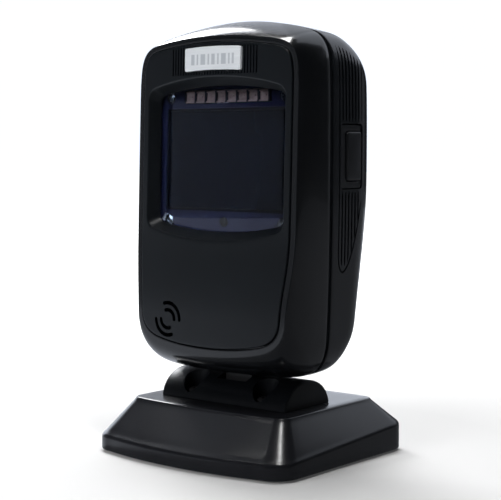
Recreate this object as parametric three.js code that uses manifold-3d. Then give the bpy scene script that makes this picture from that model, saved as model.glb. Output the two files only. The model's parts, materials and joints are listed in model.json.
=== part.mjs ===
// Hands-free desktop barcode scanner: an upright reading head that tilts on a weighted base.
// Millimetres, +Z up. Origin on the resting surface, under the middle of the base.
// The face looks along -Y, and +X is the side with the trigger key.
import * as THREE from 'three';
import { mergeVertices } from 'three/addons/utils/BufferGeometryUtils.js';
import Module from 'manifold-3d';

const wasm = await Module();
wasm.setup();

// ---------------------------------------------------------------- driving dimensions
const FIT = 0.3;                     // gap between parts that are fitted into each other
const REST = 0.1;                    // gap between parts that rest face to face
const FAR = 80;                      // reach of a cut that runs right out of the object

const base = {
  halfX: 42.9, frontY: -41.3, rearY: 37.6, bow: 3.9, cornerR: 9, wall: 2.4,
  underside: 0.8, frontSkirt: 5.9, rearSkirt: 9.7, edge: 0.9,
  top: 19, topHalfX: 34, topFrontY: -27, topRearY: 27.9, topBow: 1.8, topR: 4.5,
};
const plate = { bottom: 1.2, thick: 1.6, screwX: 30, screwY: [-12, 12] };
const foot = { r: 5, high: 1.6, x: 31, y: [-28, 28] };
const weight = { halfX: 25, frontY: -24, rearY: 24, bottom: 3.1, top: 9.1, r: 3 };

const tilt = { y: -3.45, z: 18.1 };  // the axis that the head tilts about, along X
const neck = {
  halfY: 12.8, high: 10.3, halfX: 28.2, wall: 2.2, screwX: 15.8, screwY: 7.6, pocketR: 4.6,
  pocketFloor: 20.7, postR: 6.2, screwLong: 10,
};
const lug = { from: 8, to: 10.8, r: 5.3, openHalfX: 11.9, openHalfY: 6 };
const axle = { r: 2.2, boreR: 2.3, halfX: 11.3 };
const hub = { r: 5, halfX: 7 };
const washer = { r: 4.4, from: 7.2, to: 7.8 };
const arm = { halfX: 6, halfY: 3, slotHalfX: 6.6, slotHalfY: 7.2 };
const flange = { halfX: 13, rearY: 10.6, z: 34.2, thick: 2, screwX: 9.5, screwY: 7.2, screwLong: 5 };

const head = {
  wall: 2.2, seamY: -2.55, bandY: -8.2, rimBack: 0.4, cavityBack: 4.9, depth: 29.8,
  lowerCut: 6.8, channelGap: 1.2, channelEnd: 0.5,
};
const lean = { degrees: 1.86, y: -20, z: 105 };   // the face and its optics lean back this much
const seam = { halfWidth: 0.5, deep: 1.6, gasketOut: 0.45, gasketIn: 1.5, gasketHalf: 0.4 };
const face = {
  y: -21.1, sag: 1.2, halfX: 34, thick: 2.2, inset: 2.2, gap: 0.3, ledge: 0.7,
  chin: 1.5, chinLow: 50, chinHigh: 80,
};
const windowOuter = { halfX: 31.5, top: 132.4, bottom: 76.2, bow: 4.0, r: 3 };
const windowInner = { halfX: 28.3, top: 129.6, bottom: 79.2, bow: 3.4, r: 2.5 };
const tub = { halfX: 32.2, top: 133.6, bottom: 75, bow: 4.0, r: 3.5, rearY: -13.6 };
const glass = { y: -15.7, thick: 1.0, margin: 1.4 };
const grille = { halfX: 19.4, pitch: 1.25, width: 0.65, deep: 0.6, bottom: 133, top: 143.2 };
const badge = { halfX: 12.5, bottom: 134.2, top: 142.2, arch: 0.4, r: 0.8, thick: 1.4, seat: 0.55 };
const speaker = { x: -18, z: 48, width: 1.35, radii: [5.7, 3.2], sweep: 108, facing: [54, 238] };
const buzzer = { r: 5.2, y: -17.9, thick: 3.5 };

const ledBoard = { halfX: 30.4, bottom: 77.6, top: 131.4, y: -13.2, thick: 1.4, corner: 3 };
const opening = { halfX: 26.6, bottom: 86.6, top: 121.8 };
const boardScrew = { x: 25.1, z: [82.8, 125.6] };
const cells = {
  count: 8, pitch: 4.65, halfX: 18.9, bottom: 123.9, top: 127.7, wall: 0.6, frontY: -13.7, rearY: -10.2,
};
const strip = { y: -10, thick: 1, chip: 1.5, chipHigh: 0.8 };
const sensor = { r: 1.6, z: 82.8, long: 1.2 };
const hood = { y: -11.7, thick: 1.2, lipY: -13.8, rearY: -1, rearHalfX: 9, rearHalfZ: 7, wall: 0.7 };
const filter = { y: -13.3, thick: 1 };
const camera = {
  z: 104.2, half: 8, frontY: 2.5, rearY: 9.6, barrelR: 6, barrelY: -0.6, boreR: 4.4, seatY: 3.2,
};
const mainBoard = { halfX: 25, bottom: 40, top: 134, y: 10, thick: 1.6, screwX: 21, screwZ: [66, 124] };
const socket = {
  halfX: 7.4, bottom: 45.6, top: 57.2, y: 11.8, rearY: 21.2,
  mouthHalfX: 5.9, mouthBottom: 47.2, mouthTop: 54, latchHalfX: 3.1, latchTop: 55.8, deep: 8,
};
const keyFrame = {
  frontY: 3.25, rearY: 15.75, bottom: 94.2, top: 116, faceX: 36.5, r: 1.2, flangeX: 33.4,
  flangeThick: 1.1, flangeGrow: 1.2,
};
const key = {
  frontY: 6.75, rearY: 15.1, bottom: 96.8, top: 113.6, faceX: 37.5, r: 1.2, backX: 32.6,
  stopThick: 0.6, stopGrow: 0.9, travel: 1.0,
};
const plunger = { r: 1, from: 30.3, to: 32.5, boreR: 1.35, boreFloor: 28.8 };
const keySwitch = { from: 28, to: 31.2, half: 3 };
const keyBoard = { from: 26.6, to: 27.8, frontY: 3, rearY: 16, bottom: 93, top: 117.4 };
const rail = { outer: 2, grip: 1.3, inX: 25.6, lipX: 28.9, outX: 35.6, frontY: 4, rearY: 14.5 };
const ribs = {
  count: 8, frontY: 2.9, rearY: 15.1, width: 0.75, floorX: 36.05, top: 141.3, topFall: 5,
  tip: 65.5, shoulder: 92,
};
const shellScrew = { upper: [32.3, 128], lower: [31.7, 50], seatY: 4, long: 11, bossR: 3, rearBossR: 4 };
const ribbon = { x: [-6, 6], thick: 0.4 };

// ---------------------------------------------------------------- finishes
const finish = (color, roughness, metalness = 0) =>
  new THREE.MeshStandardMaterial({ color, roughness, metalness });
const glossBlack = finish(0x16171a, 0.25);
const satinBlack = finish(0x202226, 0.5);
const matteBlack = finish(0x141415, 0.75);
const rubber = finish(0x101010, 0.9);
const steel = finish(0x9a9da1, 0.35, 1);
const darkSteel = finish(0x3a3c40, 0.4, 1);
const silver = finish(0xcfd1d4, 0.35, 0.8);
const tintedGlass = finish(0x39424f, 0.05);
const filterGlass = finish(0x1c2028, 0.1);
const boardBlue = finish(0x2b2c52, 0.6);
const boardGreen = finish(0x1f4a33, 0.6);
const copperPink = finish(0xc69a8c, 0.45);
const lensGlass = finish(0x22304a, 0.05);
const ribbonWhite = finish(0xd8d8d2, 0.6);

// ---------------------------------------------------------------- solids
// A closed geometry becomes a solid that can be cut and joined.
function solid(geometry) {
  const bare = geometry.index ? geometry.toNonIndexed() : geometry.clone();
  bare.deleteAttribute('normal');
  bare.deleteAttribute('uv');
  const merged = mergeVertices(bare, 1e-4);
  return new wasm.Manifold(new wasm.Mesh({
    numProp: 3,
    vertProperties: new Float32Array(merged.attributes.position.array),
    triVerts: new Uint32Array(merged.index.array),
  }));
}

function geometryOf(body) {
  const mesh = body.getMesh();
  const geometry = new THREE.BufferGeometry();
  geometry.setAttribute('position', new THREE.BufferAttribute(new Float32Array(mesh.vertProperties), 3));
  geometry.setIndex(Array.from(mesh.triVerts));
  geometry.computeVertexNormals();
  return geometry;
}

const join = (...bodies) => bodies.reduce((all, next) => all.add(next));
const cut = (body, ...tools) => tools.reduce((left, tool) => left.subtract(tool), body);

const AXES = {
  X: [[0, 1, 0], [0, 0, 1], [1, 0, 0]],
  Y: [[1, 0, 0], [0, 0, 1], [0, -1, 0]],
  Z: [[1, 0, 0], [0, 1, 0], [0, 0, 1]],
};

// A flat outline pushed along X (outline in Y, Z), Y (outline in X, Z) or Z (outline in X, Y).
function prism(outline, axis, from, to, steps = 5) {
  const geometry = new THREE.ExtrudeGeometry(outline, {
    depth: to - from, bevelEnabled: false, curveSegments: steps });
  const basis = AXES[axis].map((column) => new THREE.Vector3(...column));
  geometry.applyMatrix4(new THREE.Matrix4().makeBasis(...basis));
  if (axis === 'X') geometry.translate(from, 0, 0);
  if (axis === 'Y') geometry.translate(0, to, 0);
  if (axis === 'Z') geometry.translate(0, 0, from);
  return solid(geometry);
}

function block(x0, x1, y0, y1, z0, z1) {
  const geometry = new THREE.BoxGeometry(x1 - x0, y1 - y0, z1 - z0);
  geometry.translate((x0 + x1) / 2, (y0 + y1) / 2, (z0 + z1) / 2);
  return solid(geometry);
}

// A round bar along an axis. `at` is its place on the two other axes, in X, Y, Z order.
function rod(axis, r, from, to, at, sides = 14) {
  const geometry = new THREE.CylinderGeometry(r, r, to - from, sides);
  const middle = (from + to) / 2;
  if (axis === 'X') geometry.rotateZ(-Math.PI / 2).translate(middle, at[0], at[1]);
  if (axis === 'Y') geometry.translate(at[0], middle, at[1]);
  if (axis === 'Z') geometry.rotateX(Math.PI / 2).translate(at[0], at[1], middle);
  return solid(geometry);
}

// A skin through a row of rings with equal point counts, closed by a flat fan at each end.
function loft(rings) {
  const size = rings[0].length;
  const points = rings.flat();
  const faces = [];
  for (let k = 0; k + 1 < rings.length; k += 1) {
    for (let i = 0; i < size; i += 1) {
      const a = k * size + i;
      const b = k * size + (i + 1) % size;
      faces.push(a, b, b + size, a, b + size, a + size);
    }
  }
  for (const end of [0, rings.length - 1]) {
    const sum = rings[end].reduce((all, p) => all.add(p), new THREE.Vector3());
    points.push(sum.divideScalar(size));
    const middle = points.length - 1;
    for (let i = 0; i < size; i += 1) {
      const a = end * size + i;
      const b = end * size + (i + 1) % size;
      faces.push(...(end === 0 ? [middle, b, a] : [middle, a, b]));
    }
  }
  const geometry = new THREE.BufferGeometry();
  const flat = points.flatMap((p) => [p.x, p.y, p.z]);
  geometry.setAttribute('position', new THREE.Float32BufferAttribute(flat, 3));
  geometry.setIndex(faces);
  return solid(geometry);
}

// ---------------------------------------------------------------- outlines
// A rounded rectangle. Its low edge may swell outwards by `bow` in the middle.
function roundedRect(x0, x1, y0, y1, r, bow = 0) {
  const low = y0 + bow;
  const k = r * 0.45;                  // handle inset that makes a cubic run like a round corner
  const shape = new THREE.Shape();
  shape.moveTo(x0 + r, low);
  shape.quadraticCurveTo((x0 + x1) / 2, y0 - bow, x1 - r, low);
  shape.bezierCurveTo(x1 - k, low, x1, low + k, x1, low + r);
  shape.lineTo(x1, y1 - r);
  shape.bezierCurveTo(x1, y1 - k, x1 - k, y1, x1 - r, y1);
  shape.lineTo(x0 + r, y1);
  shape.bezierCurveTo(x0 + k, y1, x0, y1 - k, x0, y1 - r);
  shape.lineTo(x0, low + r);
  shape.bezierCurveTo(x0, low + k, x0 + k, low, x0 + r, low);
  return shape;
}

// A rounded rectangle whose top and bottom edges swell outwards by `bow` in the middle.
function bowedRect({ halfX, top, bottom, bow, r }, grow = 0) {
  const w = halfX + grow;
  const low = bottom - grow;
  const high = top + grow;
  const round = r + grow;
  const shoulder = bow * 0.75;
  const shape = new THREE.Shape();
  shape.moveTo(w, low + bow + round);
  shape.lineTo(w, high - bow - round);
  shape.quadraticCurveTo(w, high - bow, w - round, high - shoulder);
  shape.quadraticCurveTo(w * 0.5, high, 0, high);
  shape.quadraticCurveTo(-w * 0.5, high, round - w, high - shoulder);
  shape.quadraticCurveTo(-w, high - bow, -w, high - bow - round);
  shape.lineTo(-w, low + bow + round);
  shape.quadraticCurveTo(-w, low + bow, round - w, low + shoulder);
  shape.quadraticCurveTo(-w * 0.5, low, 0, low);
  shape.quadraticCurveTo(w * 0.5, low, w - round, low + shoulder);
  shape.quadraticCurveTo(w, low + bow, w, low + bow + round);
  return shape;
}

// A small rounded rectangle whose top and bottom edges both arch upwards.
function archedRect({ halfX, bottom, top, arch, r }, grow) {
  const w = halfX + grow;
  const low = bottom - grow;
  const high = top + grow;
  const shape = new THREE.Shape();
  shape.moveTo(w, low + r);
  shape.lineTo(w, high - r);
  shape.quadraticCurveTo(w, high, w - r, high);
  shape.quadraticCurveTo(0, high + arch * 2, r - w, high);
  shape.quadraticCurveTo(-w, high, -w, high - r);
  shape.lineTo(-w, low + r);
  shape.quadraticCurveTo(-w, low, r - w, low);
  shape.quadraticCurveTo(0, low + arch * 2, w - r, low);
  shape.quadraticCurveTo(w, low, w, low + r);
  return shape;
}

// Half of a head outline, from its bottom middle up the +X side to its top middle: cubic curves,
// each given by its two handles and its end, in X and Z.
const seamHalf = [
  [0, 28.6],
  [10, 28.6, 18, 28.8, 25, 29.5],
  [31.5, 30.4, 35.3, 34.5, 35.9, 43],
  [36.6, 56, 37.1, 76, 37.2, 98],
  [37.3, 112, 37.3, 124, 37, 135],
  [36.6, 142.4, 33.7, 146.5, 28.5, 147.9],
  [20, 150.4, 10, 152, 0, 152],
];
const rimHalf = [
  [0, 37.2],
  [9, 37.2, 17, 38, 23, 39.4],
  [29.2, 40.9, 32.8, 44, 33.1, 51],
  [33.4, 60, 35.4, 66, 35.4, 80],
  [35.4, 98, 35.4, 114, 35.4, 130],
  [35.4, 138.5, 34, 142.6, 27.5, 144],
  [19, 145.4, 9, 146.3, 0, 146.3],
];
const backHalf = [
  [0, 42],
  [6, 42, 11, 42.2, 16, 43],
  [21, 44, 23.6, 49, 24, 56],
  [24.6, 70, 26.4, 84, 26.4, 100],
  [26.4, 108, 26.4, 114, 26, 119],
  [25.4, 125, 22, 127.6, 17, 128.4],
  [12, 129.4, 6, 130, 0, 130],
];
const STEPS = [2, 4, 4, 1, 4, 3];      // straight pieces in each curve of a half outline

// The whole outline, counter-clockwise as seen from the front, as points in X and Z.
function outlinePoints([start, ...curves]) {
  const right = [new THREE.Vector2(...start)];
  curves.forEach(([ax, az, bx, bz, x, z], k) => {
    const curve = new THREE.CubicBezierCurve(right[right.length - 1],
      new THREE.Vector2(ax, az), new THREE.Vector2(bx, bz), new THREE.Vector2(x, z));
    right.push(...curve.getPoints(STEPS[k]).slice(1));
  });
  const left = right.slice(1, -1).reverse().map((p) => new THREE.Vector2(-p.x, p.y));
  return [...right, ...left];
}

// Each point of an outline moved inwards, square to the outline.
function inset(points, distance) {
  const n = points.length;
  return points.map((p, i) => {
    const along = points[(i + 1) % n].clone().sub(points[(i + n - 1) % n]).normalize();
    return new THREE.Vector2(p.x - along.y * distance, p.y + along.x * distance);
  });
}

const seamOutline = outlinePoints(seamHalf);
const rimOutline = outlinePoints(rimHalf);
const backOutline = outlinePoints(backHalf);
const shapePoints = (shape) => shape.getPoints(4).slice(0, -1);
const upright = (points, y) => points.map((p) => new THREE.Vector3(p.x, y, p.y));
const reversed = (rings) => rings.map((points) => [...points].reverse());
const { clamp, smoothstep, lerp, degToRad } = THREE.MathUtils;

// The face is modelled upright: proudest along its middle, with a chin that comes forward.
const faceY = (x, z) => face.y + face.sag * (x / face.halfX) ** 2
  - face.chin * (1 - smoothstep(z, face.chinLow, face.chinHigh));

// Everything in this group leans back about a line across the middle of the face.
const leaning = new THREE.Group();
leaning.rotation.x = -degToRad(lean.degrees);
const leanPivot = new THREE.Vector3(0, lean.y, lean.z);
leaning.position.copy(leanPivot).sub(leanPivot.clone().applyEuler(leaning.rotation));
leaning.updateMatrix();
const leaned = (body) => solid(geometryOf(body).applyMatrix4(leaning.matrix));

// ---------------------------------------------------------------- head skins
// Front skin: an upright side band behind a quarter ellipse that runs onto the face rim. Over the
// top and under the chin the band gives way to the ellipse. `shrink` draws a smaller skin inside,
// and `back` sets how far its front stands behind the face.
function frontSkin(shrink, back) {
  const bandAt = ({ y: z }) => {
    const crown = smoothstep(z, 135, 147) + smoothstep(48 - z, 0, 16);
    return lerp(head.bandY, head.seamY - 0.5, Math.min(1, crown));
  };
  const rimY = rimOutline.map((p) =>
    new THREE.Vector3(p.x, faceY(p.x, p.y) + back, p.y).applyMatrix4(leaning.matrix).y);
  const rings = [upright(inset(seamOutline, shrink), head.seamY + (shrink > 0 ? 1 : 0))];
  for (const t of shrink > 0 ? [0, 0.7, 1] : [0, 0.35, 0.62, 0.84, 1]) {
    const angle = t * Math.PI / 2;
    const blend = seamOutline.map((p, i) => p.clone().lerp(rimOutline[i], 1 - Math.cos(angle)));
    rings.push(inset(blend, shrink).map((p, i) => {
      const from = bandAt(seamOutline[i]);
      return new THREE.Vector3(p.x, from + (rimY[i] - from) * Math.sin(angle), p.y);
    }));
  }
  return loft(rings);
}

// Rear skin: flat sides, a falling top, a rising underside and a rounded back that is shallower
// low down.
function rearSkin(shrink) {
  const bulge = (t, start) => 1 - Math.sqrt(1 - Math.max(0, (t - start) / (1 - start)) ** 2);
  const depthAt = (z) => head.depth - head.lowerCut * smoothstep(98 - z, 0, 66) - shrink;
  const rings = [upright(inset(seamOutline, shrink), head.seamY - (shrink > 0 ? 1 : 0))];
  for (const t of shrink > 0 ? [0.45, 0.8, 1] : [0.4, 0.62, 0.8, 0.93, 1]) {
    const side = bulge(t, 0.5);
    const top = 0.14 * t * t + 0.86 * bulge(t, 0.3);
    const under = 0.2 * t * t + 0.8 * bulge(t, 0.35);
    const blend = seamOutline.map((p, i) => {
      const up = smoothstep(p.y, 133, 149);
      const down = smoothstep(46 - p.y, 0, 15);
      return p.clone().lerp(backOutline[i], side + (top - side) * up + (under - side) * down);
    });
    rings.push(inset(blend, shrink).map((p) =>
      new THREE.Vector3(p.x, head.seamY + depthAt(p.y) * t, p.y)));
  }
  return loft(reversed(rings));
}

const frontBody = frontSkin(0, head.rimBack);
const rearBody = rearSkin(0);
const panelShape = (d) => new THREE.Shape(inset(rimOutline, face.inset + d));

// The round channel in the head's underside that rides over the neck, and the wall above it.
const channelR = neck.high + head.channelGap;
const channelHalfX = neck.halfX + head.channelEnd;
const channel = rod('X', channelR, -channelHalfX, channelHalfX, [tilt.y, tilt.z], 28);
const channelRoof = rod('X', channelR + head.wall, -channelHalfX - head.wall, channelHalfX + head.wall,
  [tilt.y, tilt.z], 16);
const armEntry = block(-arm.halfX - 0.5, arm.halfX + 0.5,
  tilt.y - arm.halfY - 0.5, tilt.y + arm.halfY + 0.5, tilt.z, flange.z - REST);

const mirroredX = ([x, z]) => [[-x, z], [x, z]];
const shellScrewPlaces = [...mirroredX(shellScrew.lower), ...mirroredX(shellScrew.upper)];
const mainScrewPlaces = mainBoard.screwZ.flatMap((z) => mirroredX([mainBoard.screwX, z]));
const ledScrewPlaces = boardScrew.z.flatMap((z) => mirroredX([boardScrew.x, z]));
const flangeScrewPlaces = mirroredX([flange.screwX, flange.screwY]);
const neckScrewPlaces = [-neck.screwY, neck.screwY].flatMap((dy) => mirroredX([neck.screwX, tilt.y + dy]));
const plateScrewPlaces = plate.screwY.flatMap((y) => mirroredX([plate.screwX, y]));
const footPlaces = foot.y.flatMap((y) => mirroredX([foot.x, y]));

// Each shell gives up half of the groove that holds the seam gasket.
function seamGroove() {
  const outside = prism(new THREE.Shape(inset(seamOutline, -2)), 'Y',
    head.seamY - seam.halfWidth, head.seamY + seam.halfWidth);
  const inside = prism(new THREE.Shape(inset(seamOutline, seam.deep)), 'Y', head.seamY - 3, head.seamY + 3);
  return outside.subtract(inside);
}

function frontShell() {
  const walls = join(cut(frontBody, frontSkin(head.wall, head.cavityBack)),
    channelRoof.intersect(frontBody));
  const bosses = shellScrewPlaces.map((at) =>
    rod('Y', shellScrew.bossR, -9, head.seamY, at, 10).intersect(frontBody));
  return cut(join(walls, ...bosses),
    leaned(prism(panelShape(-face.gap), 'Y', -FAR, 0).intersect(faceSlab(-9, face.thick + REST))),
    leaned(prism(panelShape(face.ledge), 'Y', face.y - 9, -12)),
    channel, armEntry, seamGroove(),
    ...shellScrewPlaces.map((at) => rod('Y', 1.3, -10, 5, at, 10)));
}

// Upright finger grooves in both sides. The patch narrows to a point at its foot, and the grooves
// stop short of the key frame on the side that has one.
function ribGrooves() {
  const grooves = [];
  for (let i = 0; i < ribs.count; i += 1) {
    const u = i / (ribs.count - 1);
    const y = lerp(ribs.frontY, ribs.rearY, u);
    const low = lerp(ribs.tip, ribs.shoulder, Math.abs((u - 0.15) / 0.85) ** 1.6);
    const high = ribs.top - ribs.topFall * u * u;
    const groove = (side, bottom, top) => block(
      side < 0 ? -FAR : ribs.floorX, side < 0 ? -ribs.floorX : FAR,
      y - ribs.width / 2, y + ribs.width / 2, bottom, top);
    const besideKey = y > keyFrame.frontY - 1;
    grooves.push(groove(-1, low, high));
    grooves.push(groove(1, besideKey ? keyFrame.top + 1 : low, high));
    if (besideKey) grooves.push(groove(1, low, keyFrame.bottom - 1));
  }
  return grooves;
}

// Two channels that hold the ends of the key board.
function keyBoardRails() {
  const pieces = [];
  for (const [end, away] of [[keyBoard.bottom, -1], [keyBoard.top, 1]]) {
    const near = end + away * FIT;
    const far = near + away * rail.outer;
    const grip = near - away * rail.grip;
    pieces.push(block(rail.inX, rail.outX, rail.frontY, rail.rearY,
      Math.min(near, far), Math.max(near, far)));
    for (const [x0, x1] of [[rail.inX, keyBoard.from - FIT], [keyBoard.to + FIT / 3, rail.lipX]]) {
      pieces.push(block(x0, x1, rail.frontY, rail.rearY, Math.min(far, grip), Math.max(far, grip)));
    }
  }
  return pieces;
}

function rearShell() {
  const shellWalls = cut(rearBody, rearSkin(head.wall));
  const pad = block(-flange.halfX, flange.halfX, head.seamY, flange.rearY, 28, flange.z - REST);
  const inside = [
    channelRoof, pad, ...keyBoardRails(),
    ...shellScrewPlaces.map((at) => rod('Y', shellScrew.rearBossR, head.seamY, 40, at, 14)),
    ...mainScrewPlaces.map((at) => rod('Y', 2.6, mainBoard.y + mainBoard.thick + REST, 40, at, 12)),
  ].map((piece) => piece.intersect(rearBody));
  return cut(join(shellWalls, ...inside),
    channel, armEntry, seamGroove(), ...ribGrooves(),
    ...shellScrewPlaces.flatMap((at) => [
      rod('Y', 1.4, -5, FAR, at, 10), rod('Y', 2.6, shellScrew.seatY, FAR, at, 14)]),
    ...mainScrewPlaces.map((at) => rod('Y', 1.2, 5, mainBoard.y + 9, at, 10)),
    ...flangeScrewPlaces.map((at) => rod('Z', 1.2, flange.z - 4, 40, at, 10)),
    block(-socket.halfX - FIT, socket.halfX + FIT, 14, FAR, socket.bottom - FIT, socket.top + FIT),
    prism(keyRect(keyFrame, FIT), 'X', 34, FAR),
    prism(keyRect(keyFrame, keyFrame.flangeGrow + FIT), 'X', 30,
      keyFrame.flangeX + keyFrame.flangeThick + REST));
}

// ---------------------------------------------------------------- face panel and window
// Two pairs of curved slots, one inside the other, facing each other across the corner.
function speakerSlots() {
  const half = degToRad(speaker.sweep / 2);
  return speaker.radii.flatMap((r) => speaker.facing.map((facing) => {
    const middle = degToRad(facing);
    const shape = new THREE.Shape();
    const round = (angle, from) => shape.absarc(r * Math.cos(angle), r * Math.sin(angle),
      speaker.width / 2, from, from + Math.PI, false);
    shape.absarc(0, 0, r + speaker.width / 2, middle - half, middle + half, false);
    round(middle + half, middle + half);
    shape.absarc(0, 0, r - speaker.width / 2, middle + half, middle - half, true);
    round(middle - half, middle - half + Math.PI);
    const slot = geometryOf(prism(shape, 'Y', face.y - 4, face.y + 4, 2));
    return solid(slot.translate(speaker.x, 0, speaker.z));
  }));
}

function grilleGrooves() {
  const grooves = [];
  const count = Math.floor(grille.halfX / grille.pitch);
  for (let i = -count; i <= count; i += 1) {
    const x = i * grille.pitch;
    grooves.push(block(x - grille.width / 2, x + grille.width / 2,
      face.y - 2, faceY(x, grille.top) + grille.deep, grille.bottom, grille.top - 0.0022 * x * x));
  }
  return grooves;
}

// A slab that follows the face, between two depths behind it.
function faceSlab(from, to) {
  const across = Array.from({ length: 9 }, (_, i) => lerp(-40, 40, i / 8));
  return loft([20, 50, 58, 65, 72, 80, 160].map((z) => [
    ...across.map((x) => new THREE.Vector3(x, faceY(x, z) + from, z)),
    ...[...across].reverse().map((x) => new THREE.Vector3(x, faceY(x, z) + to, z)),
  ]));
}

function facePanel() {
  const skin = prism(panelShape(0), 'Y', -FAR, 0).intersect(faceSlab(0, face.thick));
  const box = prism(bowedRect(tub), 'Y', face.y + face.sag + 0.4, tub.rearY);
  const funnel = loft([
    upright(shapePoints(bowedRect(windowInner)), glass.y - 0.7),
    upright(shapePoints(bowedRect(windowOuter, 0.9)), face.y - 1.5),
  ]);
  return cut(join(skin, box), funnel,
    prism(bowedRect(windowInner), 'Y', glass.y - 1, glass.y + 1),
    prism(bowedRect(windowInner, glass.margin + FIT), 'Y', glass.y - REST, tub.rearY + 1),
    prism(archedRect(badge, 0.25), 'Y', face.y - 3, face.y + badge.seat),
    ...grilleGrooves(), ...speakerSlots());
}

// ---------------------------------------------------------------- fasteners
// A slotted pan-head screw along +Z with the underside of its head at z = 0.
function screw(headR, headHigh, shankR, long) {
  const profile = [
    [0, -long], [shankR, -long], [shankR, 0], [headR, 0], [headR * 0.85, headHigh], [0, headHigh],
  ].map(([r, z]) => new THREE.Vector2(r, z));
  const body = solid(new THREE.LatheGeometry(profile, 8).rotateX(Math.PI / 2));
  const reach = headR * 0.6;
  const half = headR * 0.13;
  return body.subtract(block(-reach, reach, -half, half, headHigh * 0.4, headHigh + 1));
}

const group = new THREE.Group();
const scanner = new THREE.Group();
group.add(scanner);
scanner.position.y = -(base.frontY + base.rearY) / 2;     // the base's middle sits on the origin
scanner.add(leaning);
function add(name, body, material, place = [0, 0, 0], turn = [0, 0, 0], parent = scanner) {
  const mesh = new THREE.Mesh(geometryOf(body), material);
  mesh.name = name;
  mesh.position.set(...place);
  mesh.rotation.set(...turn);
  parent.add(mesh);
}
const addLeaning = (name, body, material, place, turn) => add(name, body, material, place, turn, leaning);
const HEAD_UP = [0, 0, 0];
const HEAD_DOWN = [Math.PI, 0, 0];
const HEAD_FRONT = [Math.PI / 2, 0, 0];
const HEAD_REAR = [-Math.PI / 2, 0, 0];

// ---------------------------------------------------------------- base
// The skirt's top edge climbs towards the rear along both sides.
function baseSkin(shrink) {
  const skirtOutline = shapePoints(roundedRect(-base.halfX + shrink, base.halfX - shrink,
    base.frontY + shrink, base.rearY - shrink, base.cornerR, base.bow));
  const table = (grow) => shapePoints(roundedRect(-base.topHalfX + shrink - grow,
    base.topHalfX - shrink + grow, base.topFrontY + shrink - grow, base.topRearY - shrink + grow,
    base.topR, base.topBow));
  const skirt = (y) => lerp(base.frontSkirt, base.rearSkirt, clamp((y + 31) / 64, 0, 1)) - shrink / 3;
  const at = (points, z) => points.map((p) =>
    new THREE.Vector3(p.x, p.y, typeof z === 'function' ? z(p.y) : z));
  const edge = skirtOutline.map((p, i) => p.clone().lerp(table(0)[i], 0.08));
  const top = base.top - (shrink > 0 ? base.wall : 0);
  return loft([
    at(skirtOutline, shrink > 0 ? 0 : base.underside),
    at(skirtOutline, skirt),
    at(edge, (y) => skirt(y) + base.edge),
    at(table(0.5), top - 0.45),
    at(table(-0.4), top),
  ]);
}

function baseShell() {
  const body = baseSkin(0);
  const inside = [
    ...plateScrewPlaces.map((at) => rod('Z', 3, plate.bottom + plate.thick + REST, base.top, at, 12)),
    ...neckScrewPlaces.map((at) => rod('Z', 3.3, weight.top + REST, base.top, at, 12)),
  ].map((piece) => piece.intersect(body));
  return cut(join(body.subtract(baseSkin(base.wall)), ...inside),
    ...plateScrewPlaces.map((at) => rod('Z', 1.3, 0, 14, at, 10)),
    ...neckScrewPlaces.map((at) => rod('Z', 1.5, weight.top - 1, FAR, at, 10)),
    block(-lug.openHalfX, lug.openHalfX, tilt.y - lug.openHalfY, tilt.y + lug.openHalfY, 15, FAR));
}

function basePlate() {
  const clear = base.wall + FIT;
  const outline = roundedRect(-base.halfX + clear, base.halfX - clear, base.frontY + clear,
    base.rearY - clear, base.cornerR, base.bow);
  return cut(prism(outline, 'Z', plate.bottom, plate.bottom + plate.thick),
    ...footPlaces.map((at) => rod('Z', foot.r + FIT, 0, foot.high + REST, at, 16)),
    ...plateScrewPlaces.map((at) => rod('Z', 1.4, 0, 5, at, 10)));
}

// ---------------------------------------------------------------- neck and tilt joint
// A low rounded barrel along X, about the tilt axis.
function barrel(shrink, halfX) {
  const oval = new THREE.Shape();
  oval.absellipse(tilt.y, tilt.z, neck.halfY - shrink, neck.high - shrink, 0, Math.PI * 2);
  return prism(oval, 'X', -halfX, halfX, 16);
}

// A low saddle, hollow underneath, with lugs that reach down through the base to the axle.
function neckSaddle() {
  const floor = base.top + REST;
  const above = block(-FAR, FAR, -FAR, FAR, floor, FAR);
  const hump = barrel(0, neck.halfX).intersect(above);
  const hollow = barrel(neck.wall, neck.halfX - neck.wall);
  const posts = neckScrewPlaces.map((at) => rod('Z', neck.postR, floor, FAR, at, 10).intersect(hump));
  const lugs = [-1, 1].flatMap((side) => {
    const [x0, x1] = [side * lug.from, side * lug.to].sort((a, b) => a - b);
    return [
      rod('X', lug.r, x0, x1, [tilt.y, tilt.z], 14),
      block(x0, x1, tilt.y - lug.r, tilt.y + lug.r, tilt.z, tilt.z + neck.high - 1),
    ];
  });
  return cut(join(hump.subtract(hollow), ...posts, ...lugs),
    ...neckScrewPlaces.flatMap((at) => [
      rod('Z', neck.pocketR, neck.pocketFloor, FAR, at, 14), rod('Z', 1.9, floor - 1, FAR, at, 8)]),
    rod('X', axle.boreR, -lug.openHalfX, lug.openHalfX, [tilt.y, tilt.z], 16),
    block(-arm.slotHalfX, arm.slotHalfX, tilt.y - arm.slotHalfY, tilt.y + arm.slotHalfY, 24, FAR));
}

function tiltBracket() {
  return cut(join(
    rod('X', hub.r, -hub.halfX, hub.halfX, [tilt.y, tilt.z], 16),
    block(-arm.halfX, arm.halfX, tilt.y - arm.halfY, tilt.y + arm.halfY, tilt.z, flange.z + 1),
    block(-flange.halfX, flange.halfX, tilt.y - arm.halfY, flange.rearY, flange.z, flange.z + flange.thick)),
    rod('X', axle.boreR, -FAR, FAR, [tilt.y, tilt.z], 16),
    ...flangeScrewPlaces.map((at) => rod('Z', 1.4, 30, 40, at, 10)));
}

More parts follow.
